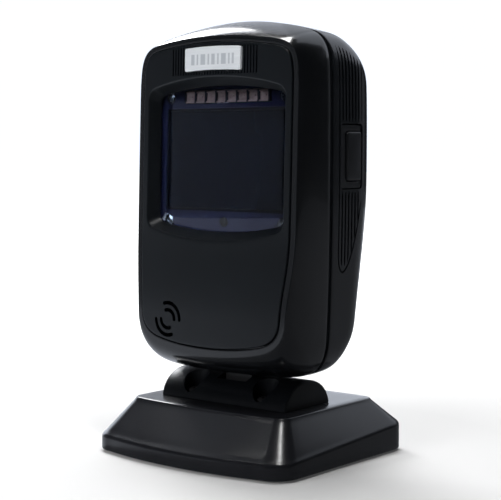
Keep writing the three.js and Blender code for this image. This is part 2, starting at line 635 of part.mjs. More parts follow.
function frictionWasher(side) {
  const [x0, x1] = [side * washer.from, side * washer.to].sort((a, b) => a - b);
  return rod('X', washer.r, x0, x1, [tilt.y, tilt.z], 16)
    .subtract(rod('X', axle.boreR, -FAR, FAR, [tilt.y, tilt.z], 16));
}

// ---------------------------------------------------------------- trigger key
const keyRect = (part, grow) => roundedRect(part.frontY - grow, part.rearY + grow,
  part.bottom - grow, part.top + grow, part.r);

function keyBezel() {
  return cut(join(
    prism(keyRect(keyFrame, 0), 'X', keyFrame.flangeX + 0.5, keyFrame.faceX),
    prism(keyRect(keyFrame, keyFrame.flangeGrow), 'X', keyFrame.flangeX,
      keyFrame.flangeX + keyFrame.flangeThick)),
    prism(keyRect(key, 0.25), 'X', 30, FAR));
}

function triggerKey() {
  return join(
    prism(keyRect(key, -0.35), 'X', key.faceX - 0.5, key.faceX),
    prism(keyRect(key, 0), 'X', key.backX, key.faceX - 0.4),
    prism(keyRect(key, key.stopGrow), 'X', key.backX, key.backX + key.stopThick));
}

const keyY = (key.frontY + key.rearY) / 2;
const keyZ = (key.bottom + key.top) / 2;

// ---------------------------------------------------------------- optics and boards
// Light board: a plate with a wide opening for the camera's view and a slot for the light cells.
function lightBoard() {
  const { halfX, bottom, top, y, thick, corner } = ledBoard;
  return cut(prism(roundedRect(-halfX, halfX, bottom, top, corner), 'Y', y, y + thick),
    block(-opening.halfX - FIT, opening.halfX + FIT, -FAR, FAR, opening.bottom - FIT, opening.top + FIT),
    block(-cells.halfX - FIT, cells.halfX + FIT, -FAR, FAR, cells.bottom - FIT, cells.top + FIT),
    ...ledScrewPlaces.map((at) => rod('Y', 1.2, -FAR, FAR, at, 10)));
}

function opticsHood() {
  const midZ = (opening.top + opening.bottom) / 2;
  const halfZ = (opening.top - opening.bottom) / 2;
  const rect = (halfX, halfHigh, z, y) => [[1, -1], [1, 1], [-1, 1], [-1, -1]].map(([i, k]) =>
    new THREE.Vector3(i * halfX, y, z + k * halfHigh));
  const tunnel = (shrink, over) => loft(reversed([
    rect(opening.halfX - shrink, halfZ - shrink, midZ, hood.lipY - over),
    rect(opening.halfX - shrink, halfZ - shrink, midZ, hood.y + hood.thick),
    rect(hood.rearHalfX - shrink, hood.rearHalfZ - shrink, camera.z, hood.rearY + over),
  ]));
  const sheet = prism(roundedRect(-ledBoard.halfX, ledBoard.halfX, ledBoard.bottom, ledBoard.top,
    ledBoard.corner), 'Y', hood.y, hood.y + hood.thick);
  const slot = block(-cells.halfX - FIT, cells.halfX + FIT, -FAR, 0, cells.bottom - FIT, cells.top + FIT);
  const bosses = ledScrewPlaces.map((at) => rod('Y', 2.2, hood.y, hood.y + 6, at, 12));
  return cut(join(cut(sheet, slot), tunnel(0, 0), ...bosses), tunnel(hood.wall, 0.01),
    ...ledScrewPlaces.map((at) => rod('Y', 1.1, -FAR, hood.y + 5, at, 10)));
}

// Dark filter glass that closes the mouth of the hood.
function filterPane() {
  const clear = hood.wall + REST;
  return block(clear - opening.halfX, opening.halfX - clear, filter.y, filter.y + filter.thick,
    opening.bottom + clear, opening.top - clear);
}

const cellX = (i) => (i - (cells.count - 1) / 2) * cells.pitch;

function lightCells() {
  const body = block(-cells.halfX, cells.halfX, cells.frontY, cells.rearY, cells.bottom, cells.top);
  const half = (cells.pitch - cells.wall) / 2;
  const halfHigh = (cells.top - cells.bottom - cells.wall) / 2;
  const holes = [];
  for (let i = 0; i < cells.count; i += 1) {
    const [x, z] = [cellX(i), (cells.bottom + cells.top) / 2];
    const ring4 = (s, high, y) => [[1, -1], [1, 1], [-1, 1], [-1, -1]].map(([a, b]) =>
      new THREE.Vector3(x + a * s, y, z + b * high));
    holes.push(loft(reversed([
      ring4(half, halfHigh, cells.frontY - 0.01), ring4(1.1, 1.1, cells.rearY + 0.01)])));
  }
  return cut(body, ...holes);
}

function lightStrip() {
  const z = (cells.bottom + cells.top) / 2;
  const chips = [];
  for (let i = 0; i < cells.count; i += 1) {
    const half = strip.chip / 2;
    chips.push(block(cellX(i) - half, cellX(i) + half,
      strip.y - strip.chipHigh, strip.y + 0.2, z - half, z + half));
  }
  return join(block(-cells.halfX, cells.halfX, strip.y, strip.y + strip.thick,
    cells.bottom, cells.top), ...chips);
}

function cameraModule() {
  const { z, half, frontY, rearY, barrelR, barrelY, boreR, seatY } = camera;
  return cut(join(block(-half, half, frontY, rearY, z - half, z + half),
    rod('Y', barrelR, barrelY, frontY + 1, [0, z], 24)),
    rod('Y', boreR, barrelY - 1, seatY, [0, z], 24));
}

// A lens that bulges forwards, seated in the barrel.
function cameraLens() {
  const profile = [[0, 0], [3.9, 0], [3.9, 1.6], [3.0, 2.3], [1.6, 2.8], [0, 2.95]]
    .map(([r, z]) => new THREE.Vector2(r, z));
  return solid(new THREE.LatheGeometry(profile, 16).rotateX(Math.PI / 2));
}

function sensorDome() {
  const profile = [[0, 0], [1, 0], [1, 0.4], [0.72, 0.75], [0.38, 0.95], [0, 1]]
    .map(([r, z]) => new THREE.Vector2(r * sensor.r, z * sensor.long));
  return solid(new THREE.LatheGeometry(profile, 12).rotateX(Math.PI / 2));
}

function controlBoard() {
  const { halfX, bottom, top, y, thick } = mainBoard;
  return cut(prism(roundedRect(-halfX, halfX, bottom, top, 3), 'Y', y, y + thick),
    ...mainScrewPlaces.map((at) => rod('Y', 1.3, 0, 20, at, 10)));
}

// A modular jack: a square mouth with a notch above it for the plug's latch.
function cableSocket() {
  const s = socket;
  return cut(block(-s.halfX, s.halfX, s.y, s.rearY, s.bottom, s.top),
    block(-s.mouthHalfX, s.mouthHalfX, s.rearY - s.deep, s.rearY + 1, s.mouthBottom, s.mouthTop),
    block(-s.latchHalfX, s.latchHalfX, s.rearY - s.deep, s.rearY + 1, s.mouthTop - 0.5, s.latchTop));
}

// A flat ribbon that hangs from the light board and runs back to the main board.
function ribbonCable() {
  const path = new THREE.SplineCurve([
    [-10.1, 83.5], [-9.9, 78], [-7, 74.5], [0, 73.2], [6, 72.4], [9, 69.6], [9.6, 64],
  ].map(([y, z]) => new THREE.Vector2(y, z)));
  const steps = 14;
  const side = (offset) => Array.from({ length: steps + 1 }, (_, i) => {
    const p = path.getPoint(i / steps);
    const along = path.getTangent(i / steps);
    return new THREE.Vector2(p.x - along.y * offset, p.y + along.x * offset);
  });
  const outline = new THREE.Shape([...side(ribbon.thick / 2), ...side(-ribbon.thick / 2).reverse()]);
  return prism(outline, 'X', ribbon.x[0], ribbon.x[1]);
}

function namePlate() {
  const outline = prism(archedRect(badge, 0), 'Y', face.y - 2, face.y + badge.seat - REST);
  return outline.intersect(faceSlab(badge.seat - badge.thick, face.thick));
}

// The gasket runs all round the seam except where the neck channel crosses it.
function seamGasket() {
  const y0 = head.seamY - seam.gasketHalf;
  const y1 = head.seamY + seam.gasketHalf;
  return prism(new THREE.Shape(inset(seamOutline, seam.gasketOut)), 'Y', y0, y1)
    .subtract(prism(new THREE.Shape(inset(seamOutline, seam.gasketIn)), 'Y', y0 - 1, y1 + 1))
    .subtract(channelRoof);
}

// ---------------------------------------------------------------- the assembly
add('base_shell', baseShell(), glossBlack);
add('base_plate', basePlate(), matteBlack);
add('base_weight', prism(roundedRect(-weight.halfX, weight.halfX, weight.frontY, weight.rearY, weight.r),
  'Z', weight.bottom, weight.top), steel);
footPlaces.forEach((at, i) => add(`foot_${i + 1}`, rod('Z', foot.r, 0, foot.high, at, 16), rubber));
plateScrewPlaces.forEach(([x, y], i) => add(`plate_screw_${i + 1}`, screw(2, 0.9, 0.9, 7), steel,
  [x, y, plate.bottom - REST + 0.05], HEAD_DOWN));
add('neck_saddle', neckSaddle(), matteBlack);
neckScrewPlaces.forEach(([x, y], i) => add(`neck_screw_${i + 1}`,
  screw(3.1, 1.8, 1.15, neck.screwLong), darkSteel, [x, y, neck.pocketFloor + REST], HEAD_UP));
add('tilt_axle', rod('X', axle.r, -axle.halfX, axle.halfX, [tilt.y, tilt.z], 16), steel);
add('friction_washer_left', frictionWasher(-1), darkSteel);
add('friction_washer_right', frictionWasher(1), darkSteel);
add('tilt_bracket', tiltBracket(), satinBlack);
flangeScrewPlaces.forEach(([x, y], i) => add(`bracket_screw_${i + 1}`,
  screw(2, 1.3, 0.9, flange.screwLong), steel, [x, y, flange.z + flange.thick + REST], HEAD_UP));

add('front_shell', frontShell(), glossBlack);
addLeaning('face_panel', facePanel(), satinBlack);
addLeaning('window_glass', prism(bowedRect(windowInner, glass.margin), 'Y', glass.y, glass.y + glass.thick),
  tintedGlass);
addLeaning('name_plate', namePlate(), silver);
add('seam_gasket', seamGasket(), rubber);
add('rear_shell', rearShell(), glossBlack);
shellScrewPlaces.forEach(([x, z], i) => add(`shell_screw_${i + 1}`,
  screw(2.2, 1.6, 1, shellScrew.long), darkSteel, [x, shellScrew.seatY + REST, z], HEAD_REAR));

add('key_frame', keyBezel(), satinBlack);
add('trigger_key', triggerKey(), satinBlack);
add('switch_plunger', rod('X', plunger.r, plunger.from, plunger.to, [keyY, keyZ], 14), matteBlack);
add('trigger_switch', cut(
  block(keySwitch.from, keySwitch.to, keyY - keySwitch.half, keyY + keySwitch.half,
    keyZ - keySwitch.half, keyZ + keySwitch.half),
  rod('X', plunger.boreR, plunger.boreFloor, FAR, [keyY, keyZ], 16)), darkSteel);
add('key_board', block(keyBoard.from, keyBoard.to, keyBoard.frontY, keyBoard.rearY,
  keyBoard.bottom, keyBoard.top), boardGreen);

addLeaning('led_board', lightBoard(), boardBlue);
ledScrewPlaces.forEach(([x, z], i) => addLeaning(`led_board_screw_${i + 1}`,
  screw(1.9, 0.9, 0.85, 5), steel, [x, ledBoard.y - REST, z], HEAD_FRONT));
addLeaning('led_reflector', lightCells(), copperPink);
addLeaning('led_strip', lightStrip(), boardGreen);
addLeaning('presence_sensor', sensorDome(), matteBlack, [0, ledBoard.y - REST, sensor.z], HEAD_FRONT);
addLeaning('optics_hood', opticsHood(), matteBlack);
addLeaning('filter_pane', filterPane(), filterGlass);
addLeaning('camera_module', cameraModule(), darkSteel);
addLeaning('camera_lens', cameraLens(), lensGlass, [0, camera.seatY - REST, camera.z], HEAD_FRONT);
add('main_board', controlBoard(), boardGreen);
mainScrewPlaces.forEach(([x, z], i) => add(`main_board_screw_${i + 1}`,
  screw(2, 1.3, 0.9, 6), steel, [x, mainBoard.y - REST, z], HEAD_FRONT));
add('cable_socket', cableSocket(), matteBlack);
addLeaning('buzzer', rod('Y', buzzer.r, buzzer.y, buzzer.y + buzzer.thick, [speaker.x, speaker.z], 24),
  matteBlack);
add('ribbon_cable', ribbonCable(), ribbonWhite);

export default group;
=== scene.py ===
"""Looks of a hands-free desktop barcode scanner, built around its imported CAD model.

Shapes are worked out in millimetres, in the model's own frame before its origin was centred under
the base, and turned into metres of the row frame when a mesh is made.
"""

import json
import math

import bmesh
import bpy
import numpy as np
from mathutils import Matrix, Vector


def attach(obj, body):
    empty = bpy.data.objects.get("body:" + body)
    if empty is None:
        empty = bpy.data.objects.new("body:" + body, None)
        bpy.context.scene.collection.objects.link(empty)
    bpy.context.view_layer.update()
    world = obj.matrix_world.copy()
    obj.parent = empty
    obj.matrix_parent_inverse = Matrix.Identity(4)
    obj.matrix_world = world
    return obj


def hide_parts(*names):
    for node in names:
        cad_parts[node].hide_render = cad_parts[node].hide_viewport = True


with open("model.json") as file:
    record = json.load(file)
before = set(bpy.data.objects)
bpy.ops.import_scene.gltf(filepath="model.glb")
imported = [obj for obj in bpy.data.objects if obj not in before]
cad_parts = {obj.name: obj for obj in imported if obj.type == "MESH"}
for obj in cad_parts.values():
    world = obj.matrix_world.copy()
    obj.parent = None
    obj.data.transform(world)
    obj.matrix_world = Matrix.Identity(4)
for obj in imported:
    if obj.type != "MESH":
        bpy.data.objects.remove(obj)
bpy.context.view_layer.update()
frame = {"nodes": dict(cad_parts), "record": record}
NODES = frame["nodes"]

MM = 0.001
ORIGIN_Y = 1.85                       # the base's middle, put on the row frame's origin
FIT = 0.3                             # gap round a piece in its pocket
REST = 0.1                            # gap between faces that rest on each other

# --- sizes shared with the CAD
BASE = dict(half_x=42.9, front=-41.3, rear=37.6, bow=3.9, corner=9, wall=2.4, underside=0.8,
            front_skirt=5.9, rear_skirt=9.7, edge=0.9, top=19.0, top_half_x=34, top_front=-27,
            top_rear=27.9, top_bow=1.8, top_corner=4.5)
TILT_Y, TILT_Z = -3.45, 18.1
NECK_Y, NECK_HIGH, NECK_X = 12.8, 10.3, 28.2
CHANNEL_R = NECK_HIGH + 1.2
SEAM_Y, BAND_Y, DEPTH, LOWER_CUT, WALL = -2.55, -8.2, 29.8, 6.8, 2.2
FACE_Y, FACE_SAG, FACE_X, FACE_THICK, FACE_INSET = -21.1, 1.2, 34, 2.2, 2.2
CHIN, CHIN_LOW, CHIN_HIGH = 1.5, 50, 80
LEAN = math.radians(1.86)
LEAN_Y, LEAN_Z = -20, 105
WINDOW_OUTER = dict(x=31.5, top=132.4, bottom=76.2, bow=4.0, r=3)
WINDOW_INNER = dict(x=28.3, top=129.6, bottom=79.2, bow=3.4, r=2.5)
TUB = dict(x=32.2, top=133.6, bottom=75, bow=4.0, r=3.5)
TUB_REAR = -13.6
GLASS_Y, GLASS_THICK, GLASS_MARGIN = -15.7, 1.0, 1.4
BADGE = dict(x=12.5, top=142.2, bottom=134.2, arch=0.4, r=0.8)
BADGE_THICK, BADGE_SEAT = 1.4, 0.55
KEY_FRAME = dict(front=3.25, rear=15.75, bottom=94.2, top=116, face=36.5, r=1.2)
KEY = dict(front=6.75, rear=15.1, bottom=96.8, top=113.6, face=37.5, r=1.2)
NECK_SCREW = dict(x=15.8, y=7.6, seat=20.8, pocket_r=4.6, pocket_floor=20.7)
ARM_SLOT = dict(half_x=6.6, half_y=7.2, floor=24)
SHELL_SCREWS = ((31.7, 50), (32.3, 128))
SHELL_SCREW_BORE, SHELL_SCREW_SEAT = 2.6, 4
SOCKET_HOLE = dict(half_x=7.7, front=14, bottom=45.3, top=57.5)
OUTSIDE = 80
SIDES = (-1, 1)
BACK_MIDDLE = (0, 86)

# Half outlines of the head from the bottom middle round to the top middle, as cubic curves.
SEAM_HALF = [(0, 28.6), (10, 28.6, 18, 28.8, 25, 29.5), (31.5, 30.4, 35.3, 34.5, 35.9, 43),
             (36.6, 56, 37.1, 76, 37.2, 98), (37.3, 112, 37.3, 124, 37, 135),
             (36.6, 142.4, 33.7, 146.5, 28.5, 147.9), (20, 150.4, 10, 152, 0, 152)]
RIM_HALF = [(0, 37.2), (9, 37.2, 17, 38, 23, 39.4), (29.2, 40.9, 32.8, 44, 33.1, 51),
            (33.4, 60, 35.4, 66, 35.4, 80), (35.4, 98, 35.4, 114, 35.4, 130),
            (35.4, 138.5, 34, 142.6, 27.5, 144), (19, 145.4, 9, 146.3, 0, 146.3)]
BACK_HALF = [(0, 42), (6, 42, 11, 42.2, 16, 43), (21, 44, 23.6, 49, 24, 56),
             (24.6, 70, 26.4, 84, 26.4, 100), (26.4, 108, 26.4, 114, 26, 119),
             (25.4, 125, 22, 127.6, 17, 128.4), (12, 129.4, 6, 130, 0, 130)]
STEPS = [10, 20, 16, 16, 20, 14]


# --- outlines
def smoothstep(x, low, high):
    t = np.clip((np.asarray(x, float) - low) / (high - low), 0, 1)
    return t * t * (3 - 2 * t)


def lerp(a, b, t):
    return a + (b - a) * t


def soften(points, passes):
    """Closed outline with its kinks between curves eased out."""
    for _ in range(passes):
        points = (np.roll(points, 1, 0) + 2 * points + np.roll(points, -1, 0)) / 4
    return points


def mirrored(half):
    """Whole closed outline from its +X half, which runs from the bottom to the top middle."""
    return np.vstack([half, half[-2:0:-1] * [-1, 1]])


def outline(half):
    points = [np.array(half[0], float)]
    for (ax, az, bx, bz, x, z), steps in zip(half[1:], STEPS):
        p0, p1, p2, p3 = points[-1], np.array((ax, az)), np.array((bx, bz)), np.array((x, z))
        for k in range(1, steps + 1):
            t = k / steps
            points.append((1 - t) ** 3 * p0 + 3 * t * (1 - t) ** 2 * p1 + 3 * t * t * (1 - t) * p2
                          + t ** 3 * p3)
    return soften(mirrored(np.array(points)), 3)


def quadratic(p0, p1, p2, steps):
    p0, p1, p2 = (np.array(p, float) for p in (p0, p1, p2))
    return [(1 - t) ** 2 * p0 + 2 * t * (1 - t) * p1 + t * t * p2
            for t in (k / steps for k in range(1, steps + 1))]


def bowed(size, grow=0.0):
    """Rounded rectangle whose top and bottom edges swell, with as many points as outline()."""
    w, low, high = size["x"] + grow, size["bottom"] - grow, size["top"] + grow
    r, bow = size["r"] + grow, size["bow"]
    shoulder = bow * 0.75
    half = [np.array((0.0, low))]
    half += quadratic((0, low), (w * 0.5, low), (w - r, low + shoulder), STEPS[0])
    half += quadratic((w - r, low + shoulder), (w, low + bow), (w, low + bow + r), STEPS[1])
    side = np.linspace(low + bow + r, high - bow - r, STEPS[2] + STEPS[3] + 1)[1:]
    half += [np.array((w, z)) for z in side]
    half += quadratic((w, high - bow - r), (w, high - bow), (w - r, high - shoulder), STEPS[4])
    half += quadratic((w - r, high - shoulder), (w * 0.5, high), (0, high), STEPS[5])
    return mirrored(np.array(half))


def arched(size, grow=0.0):
    """Small rounded rectangle whose top and bottom edges both arch upwards."""
    w, low, high, r = size["x"] + grow, size["bottom"] - grow, size["top"] + grow, size["r"]
    rise = size["arch"] * 2
    points = quadratic((w, high - r), (w, high), (w - r, high), 6)
    points += quadratic((w - r, high), (0, high + rise), (r - w, high), 24)
    points += quadratic((r - w, high), (-w, high), (-w, high - r), 6)
    points += [np.array((-w, lerp(high - r, low + r, k / 10))) for k in range(1, 11)]
    points += quadratic((-w, low + r), (-w, low), (r - w, low), 6)
    points += quadratic((r - w, low), (0, low + rise), (w - r, low), 24)
    points += quadratic((w - r, low), (w, low), (w, low + r), 6)
    points += [np.array((w, lerp(low + r, high - r, k / 10))) for k in range(1, 11)]
    return np.array(points)


def inset(points, distance):
    """Closed outline moved inwards by a distance."""
    along = np.roll(points, -1, 0) - np.roll(points, 1, 0)
    along /= np.linalg.norm(along, axis=1)[:, None]
    return points + np.stack([-along[:, 1], along[:, 0]], 1) * distance


def rounded_rect(x0, x1, y0, y1, r, bow=0.0, corner_steps=14):
    """Rounded rectangle, counter-clockwise; its low edge may swell outwards by bow."""
    low = y0 + bow
    points = [np.array((x0 + r, low))]
    points += quadratic((x0 + r, low), ((x0 + x1) / 2, y0 - bow), (x1 - r, low), 36)
    for cx, cy, start in ((x1 - r, low + r, -90), (x1 - r, y1 - r, 0), (x0 + r, y1 - r, 90),
                          (x0 + r, low + r, 180)):
        for k in range(corner_steps + 1):
            a = math.radians(start + 90 * k / corner_steps)
            points.append(np.array((cx + r * math.cos(a), cy + r * math.sin(a))))
        if start == 0:
            points += [np.array((lerp(x1 - r, x0 + r, k / 12), y1)) for k in range(1, 12)]
        elif start in (-90, 90):
            ends = (low + r, y1 - r) if start == -90 else (y1 - r, low + r)
            x = x1 if start == -90 else x0
            points += [np.array((x, lerp(*ends, k / 12))) for k in range(1, 12)]
    clean = [points[0]]
    for p in points[1:]:
        if np.linalg.norm(p - clean[-1]) > 1e-6 and np.linalg.norm(p - clean[0]) > 1e-6:
            clean.append(p)
    return np.array(clean)


def front_view(points, y):
    """Ring of X, Z points put at depth y, a number or one for each point."""
    return np.stack([points[:, 0], np.broadcast_to(y, len(points)), points[:, 1]], 1)


def plan_view(points, z):
    return np.stack([points[:, 0], points[:, 1], np.broadcast_to(z, len(points))], 1)


def face_y(x, z):
    return FACE_Y + FACE_SAG * (x / FACE_X) ** 2 - CHIN * (1 - smoothstep(z, CHIN_LOW, CHIN_HIGH))


def leaned(points):
    """The upright face and its optics, leaned back about a line across the face."""
    y, z = points[:, 1] - LEAN_Y, points[:, 2] - LEAN_Z
    return np.stack([points[:, 0], LEAN_Y + y * math.cos(LEAN) + z * math.sin(LEAN),
                     LEAN_Z - y * math.sin(LEAN) + z * math.cos(LEAN)], 1)


SEAM = outline(SEAM_HALF)
RIM = outline(RIM_HALF)
BACK = outline(BACK_HALF)


# --- meshes
SHARP = 35                            # degrees between faces that still shade smoothly


def linked(name, data):
    """New object, linked into the scene."""
    obj = bpy.data.objects.new(name, data)
    bpy.context.scene.collection.objects.link(obj)
    return obj


def make(name, points, faces, sharp=SHARP):
    """Object in the row frame from points in millimetres."""
    mesh = bpy.data.meshes.new(name)
    placed = (np.asarray(points, float) + [0, ORIGIN_Y, 0]) * MM
    mesh.from_pydata(placed.tolist(), [], faces)
    tidy_mesh(mesh, sharp)
    return linked(name, mesh)


def tidy_mesh(mesh, sharp):
    """Doubles merged, normals outwards, smooth but for sharp edges."""
    bm = bmesh.new()
    bm.from_mesh(mesh)
    bmesh.ops.remove_doubles(bm, verts=bm.verts, dist=1e-7)
    bmesh.ops.recalc_face_normals(bm, faces=bm.faces)
    bm.to_mesh(mesh)
    bm.free()
    mesh.shade_smooth()
    mesh.set_sharp_from_angle(angle=math.radians(sharp))


def skin_data(rings, closed=False):
    """Points and quads through rings of equal length; open ends are closed flat."""
    n = len(rings[0])
    faces = []
    count = len(rings)
    for k in range(count if closed else count - 1):
        a, b = k * n, ((k + 1) % count) * n
        for i in range(n):
            j = (i + 1) % n
            faces.append((a + i, a + j, b + j, b + i))
    if not closed:
        faces.append(tuple(range(n))[::-1])
        faces.append(tuple(range((count - 1) * n, count * n)))
    return np.vstack(rings), faces


def skin(name, rings, closed=False):
    return make(name, *skin_data(rings, closed))


def shrinking(points, centre, steps, height):
    """Rings that close an outline towards its centre; height(points) gives each ring's places."""
    centre = np.array(centre, float)
    return [height(centre + (points - centre) * (1 - k / steps) ** 0.9)
            for k in range(1, steps)] + [height(centre + (points - centre) * 0.004)]


def gather(name, pieces):
    """One object from several (points, faces) pairs."""
    points, faces, base = [], [], 0
    for some, quads in pieces:
        points.append(np.asarray(some, float))
        faces += [tuple(base + i for i in f) for f in quads]
        base += len(some)
    return make(name, np.vstack(points), faces)


def carve(obj, pieces):
    """obj with the shapes of some (points, faces) pairs, clear of each other, taken out of it."""
    cutter = gather("cutter", pieces)
    mod = obj.modifiers.new("carve", "BOOLEAN")
    mod.operation = "DIFFERENCE"
    mod.solver = "MANIFOLD"
    mod.object = cutter
    graph = bpy.context.evaluated_depsgraph_get()
    result = bpy.data.meshes.new_from_object(obj.evaluated_get(graph))
    obj.modifiers.remove(mod)
    obj.data = result
    tidy_mesh(result, SHARP)
    bpy.data.objects.remove(cutter)
    return obj


def bar_data(axis, r, start, end, at, sides):
    """Round bar along X, Y or Z."""
    angles = np.linspace(0, 2 * math.pi, sides, endpoint=False)
    u, v = at[0] + r * np.cos(angles), at[1] + r * np.sin(angles)
    rings = []
    for along in (start, end):
        w = np.full(sides, along)
        rings.append(np.stack({"X": (w, u, v), "Y": (u, w, v), "Z": (u, v, w)}[axis], 1))
    return skin_data(rings)


def block_data(x0, x1, y0, y1, z0, z1):
    square = np.array([(x0, y0), (x1, y0), (x1, y1), (x0, y1)], float)
    return skin_data([plan_view(square, z0), plan_view(square, z1)])


def lathe_data(profile, sides):
    """Solid of revolution about Z from (radius, height) pairs that start and end near the axis."""
    angles = np.linspace(0, 2 * math.pi, sides, endpoint=False)
    rings = [np.stack([max(r, 1e-3) * np.cos(angles), max(r, 1e-3) * np.sin(angles),
                       np.full(sides, z)], 1) for r, z in profile]
    return skin_data(rings)


def turned(data, matrix):
    """Points and faces moved by a matrix."""
    points, faces = data
    flat = np.array(matrix)
    return points @ flat[:3, :3].T + flat[:3, 3], faces


def lean_data(data):
    return leaned(data[0]), data[1]


def bevelled(obj, width):
    mod = obj.modifiers.new("edges", "BEVEL")
    mod.width = width * MM
    mod.segments = 2
    mod.limit_method = "ANGLE"
    mod.angle_limit = math.radians(40)
    mod.harden_normals = True
    return obj


def channel_data(grow=0.0, sides=96):
    """The round channel under the head that clears the neck."""
    reach = NECK_X + 0.5 + grow
    return bar_data("X", CHANNEL_R + grow, -reach, reach, (TILT_Y, TILT_Z), sides)


# --- head
CROWN_FLAT = 0.55


def front_shell():
    """Closed ring-shaped frame: seam edge, side band, rounded front, lip, pocket, inner wall.

    The front is a quarter of an ellipse in section, and flatter along the crown.
    """
    crown = smoothstep(SEAM[:, 1], 135, 147) + smoothstep(48 - SEAM[:, 1], 0, 16)
    band = np.minimum(lerp(BAND_Y, SEAM_Y - 0.5, np.minimum(1, crown)), SEAM_Y - 1.3)
    rim_y = leaned(front_view(RIM, face_y(RIM[:, 0], RIM[:, 1])))[:, 1]
    flat = CROWN_FLAT * smoothstep(SEAM[:, 1], 133, 146)

    def front(angle, shrink, back):
        across = lerp(1 - math.cos(angle), angle * 2 / math.pi, flat)
        ring = inset(lerp(SEAM, RIM, across[:, None]), shrink)
        along = lerp(math.sin(angle), angle * 2 / math.pi, flat)
        return front_view(ring, band + (rim_y + back - band) * along)

    rings = [front_view(inset(SEAM, d), SEAM_Y - y) for d, y in (
        (WALL, 0.05), (1.6, 0.05), (1.6, 0.5), (0.45, 0.5), (0.2, 0.55), (0.05, 0.7), (0, 0.95))]
    rings.append(front_view(SEAM, (SEAM_Y - 0.95 + band) / 2))
    rings += [front(math.radians(a), 0, 0.4) for a in np.linspace(0, 90, 26)]
    pocket = FACE_THICK + REST
    lip = FACE_INSET - 0.2
    rings += [front_view(inset(RIM, d), rim_y + y) for d, y in (
        (0.6, 0.38), (1.2, 0.34), (lip - 0.32, 0.31), (lip - 0.12, 0.37), (lip - 0.02, 0.52),
        (lip, 0.8), (lip, pocket), (lip + 0.9, pocket), (lip + 0.9, pocket + 0.8))]
    rings += [front(math.radians(a), WALL, 4.9) for a in (90, 60, 30, 0)]
    return carve(skin("front_shell_fine", rings, closed=True), [channel_data()])


def bulge(t, start):
    """0 up to start, then a quarter of an ellipse up to 1."""
    u = np.clip((t - start) / (1 - start), 0, 1)
    return 1 - np.sqrt(1 - u * u)


def rear_ring(t, shrink):
    """Outline of the rear shell at a part t of its depth, drawn in by shrink."""
    side, top = bulge(t, 0.5), 0.14 * t * t + 0.86 * bulge(t, 0.3)
    under = 0.2 * t * t + 0.8 * bulge(t, 0.35)
    up = smoothstep(SEAM[:, 1], 133, 149)
    down = smoothstep(46 - SEAM[:, 1], 0, 15)
    blend = side + (top - side) * up + (under - side) * down
    ring = inset(SEAM + (BACK - SEAM) * blend[:, None], shrink)
    return front_view(ring, SEAM_Y + rear_depth(ring[:, 1], shrink) * t)


def rear_depth(z, shrink):
    """Depth of the rear shell at a height: less low down."""
    return DEPTH - LOWER_CUT * smoothstep(98 - z, 0, 66) - shrink


def side_x(y, z):
    """Where the rear shell's +X side stands at a depth and a height."""
    ring = rear_ring((y - SEAM_Y) / rear_depth(z, 0), 0)
    half = ring[1:len(ring) // 2]
    return float(np.interp(z, half[:, 2], half[:, 0]))


def groove_data(path, deep, half_width, side):
    """Round-bottomed groove along (y, z) places on one side of the rear shell."""
    places = np.array([(side_x(y, z), y, z) for y, z in path])
    along = np.gradient(places, axis=0)
    along /= np.linalg.norm(along, axis=1)[:, None]
    outward = np.array((1.0, 0.0, 0.0))
    across = np.cross(along, outward)
    across /= np.linalg.norm(across, axis=1)[:, None]
    run = np.concatenate([[0], np.cumsum(np.linalg.norm(np.diff(places, axis=0), axis=1))])
    from_end = np.minimum(run, run[-1] - run)
    angles = np.linspace(0, 2 * math.pi, 16, endpoint=False)
    rings = []
    for place, sideways, gone in zip(places, across, from_end):
        size = max(0.15, min(1.0, math.sqrt(gone / 1.4)))
        ring = place + size * (deep * np.cos(angles)[:, None] * outward
                               + half_width * np.sin(angles)[:, None] * sideways)
        rings.append(ring * [side, 1, 1])
    return skin_data(rings)


RIB_COUNT, RIB_START, RIB_PITCH, RIB_TOP = 6, 3.95, 1.87, 142.6
RIB_DEEP, RIB_HALF_WIDTH = 1.0, 0.42
PATCH_FRONT, PATCH_REAR, PATCH_TIP, PATCH_TURN = 2.1, 15.4, (4.5, 65.6), 72
PATCH_DEEP, PATCH_HALF_WIDTH = 0.85, 0.34
KEY_CLEAR = 0.9


def patch_low(y):
    """Height of the rib patch's curved lower edge behind its tip."""
    return PATCH_TIP[1] + 24.5 * (max(0, y - PATCH_TIP[0]) / (PATCH_REAR - PATCH_TIP[0])) ** 1.9


def patch_top(y):
    return RIB_TOP - 5.5 * ((y - PATCH_FRONT) / (PATCH_REAR - PATCH_FRONT)) ** 1.7


def rib_grooves():
    """Upright grooves inside the patch, broken by the key frame on the +X side."""
    cutters = []
    above, below = KEY_FRAME["top"] + KEY_CLEAR, KEY_FRAME["bottom"] - KEY_CLEAR
    for i in range(RIB_COUNT):
        y = RIB_START + i * RIB_PITCH
        low, high = max(patch_low(y), PATCH_TIP[1] + 1.2) + 0.9, patch_top(y)
        for side, spans in ((-1, [(low, high)]), (1, [(low, below), (above, high)])):
            for z0, z1 in spans:
                path = [(y, z) for z in np.linspace(z0, z1, 26)]
                cutters.append(groove_data(path, RIB_DEEP, RIB_HALF_WIDTH, side))
    return cutters


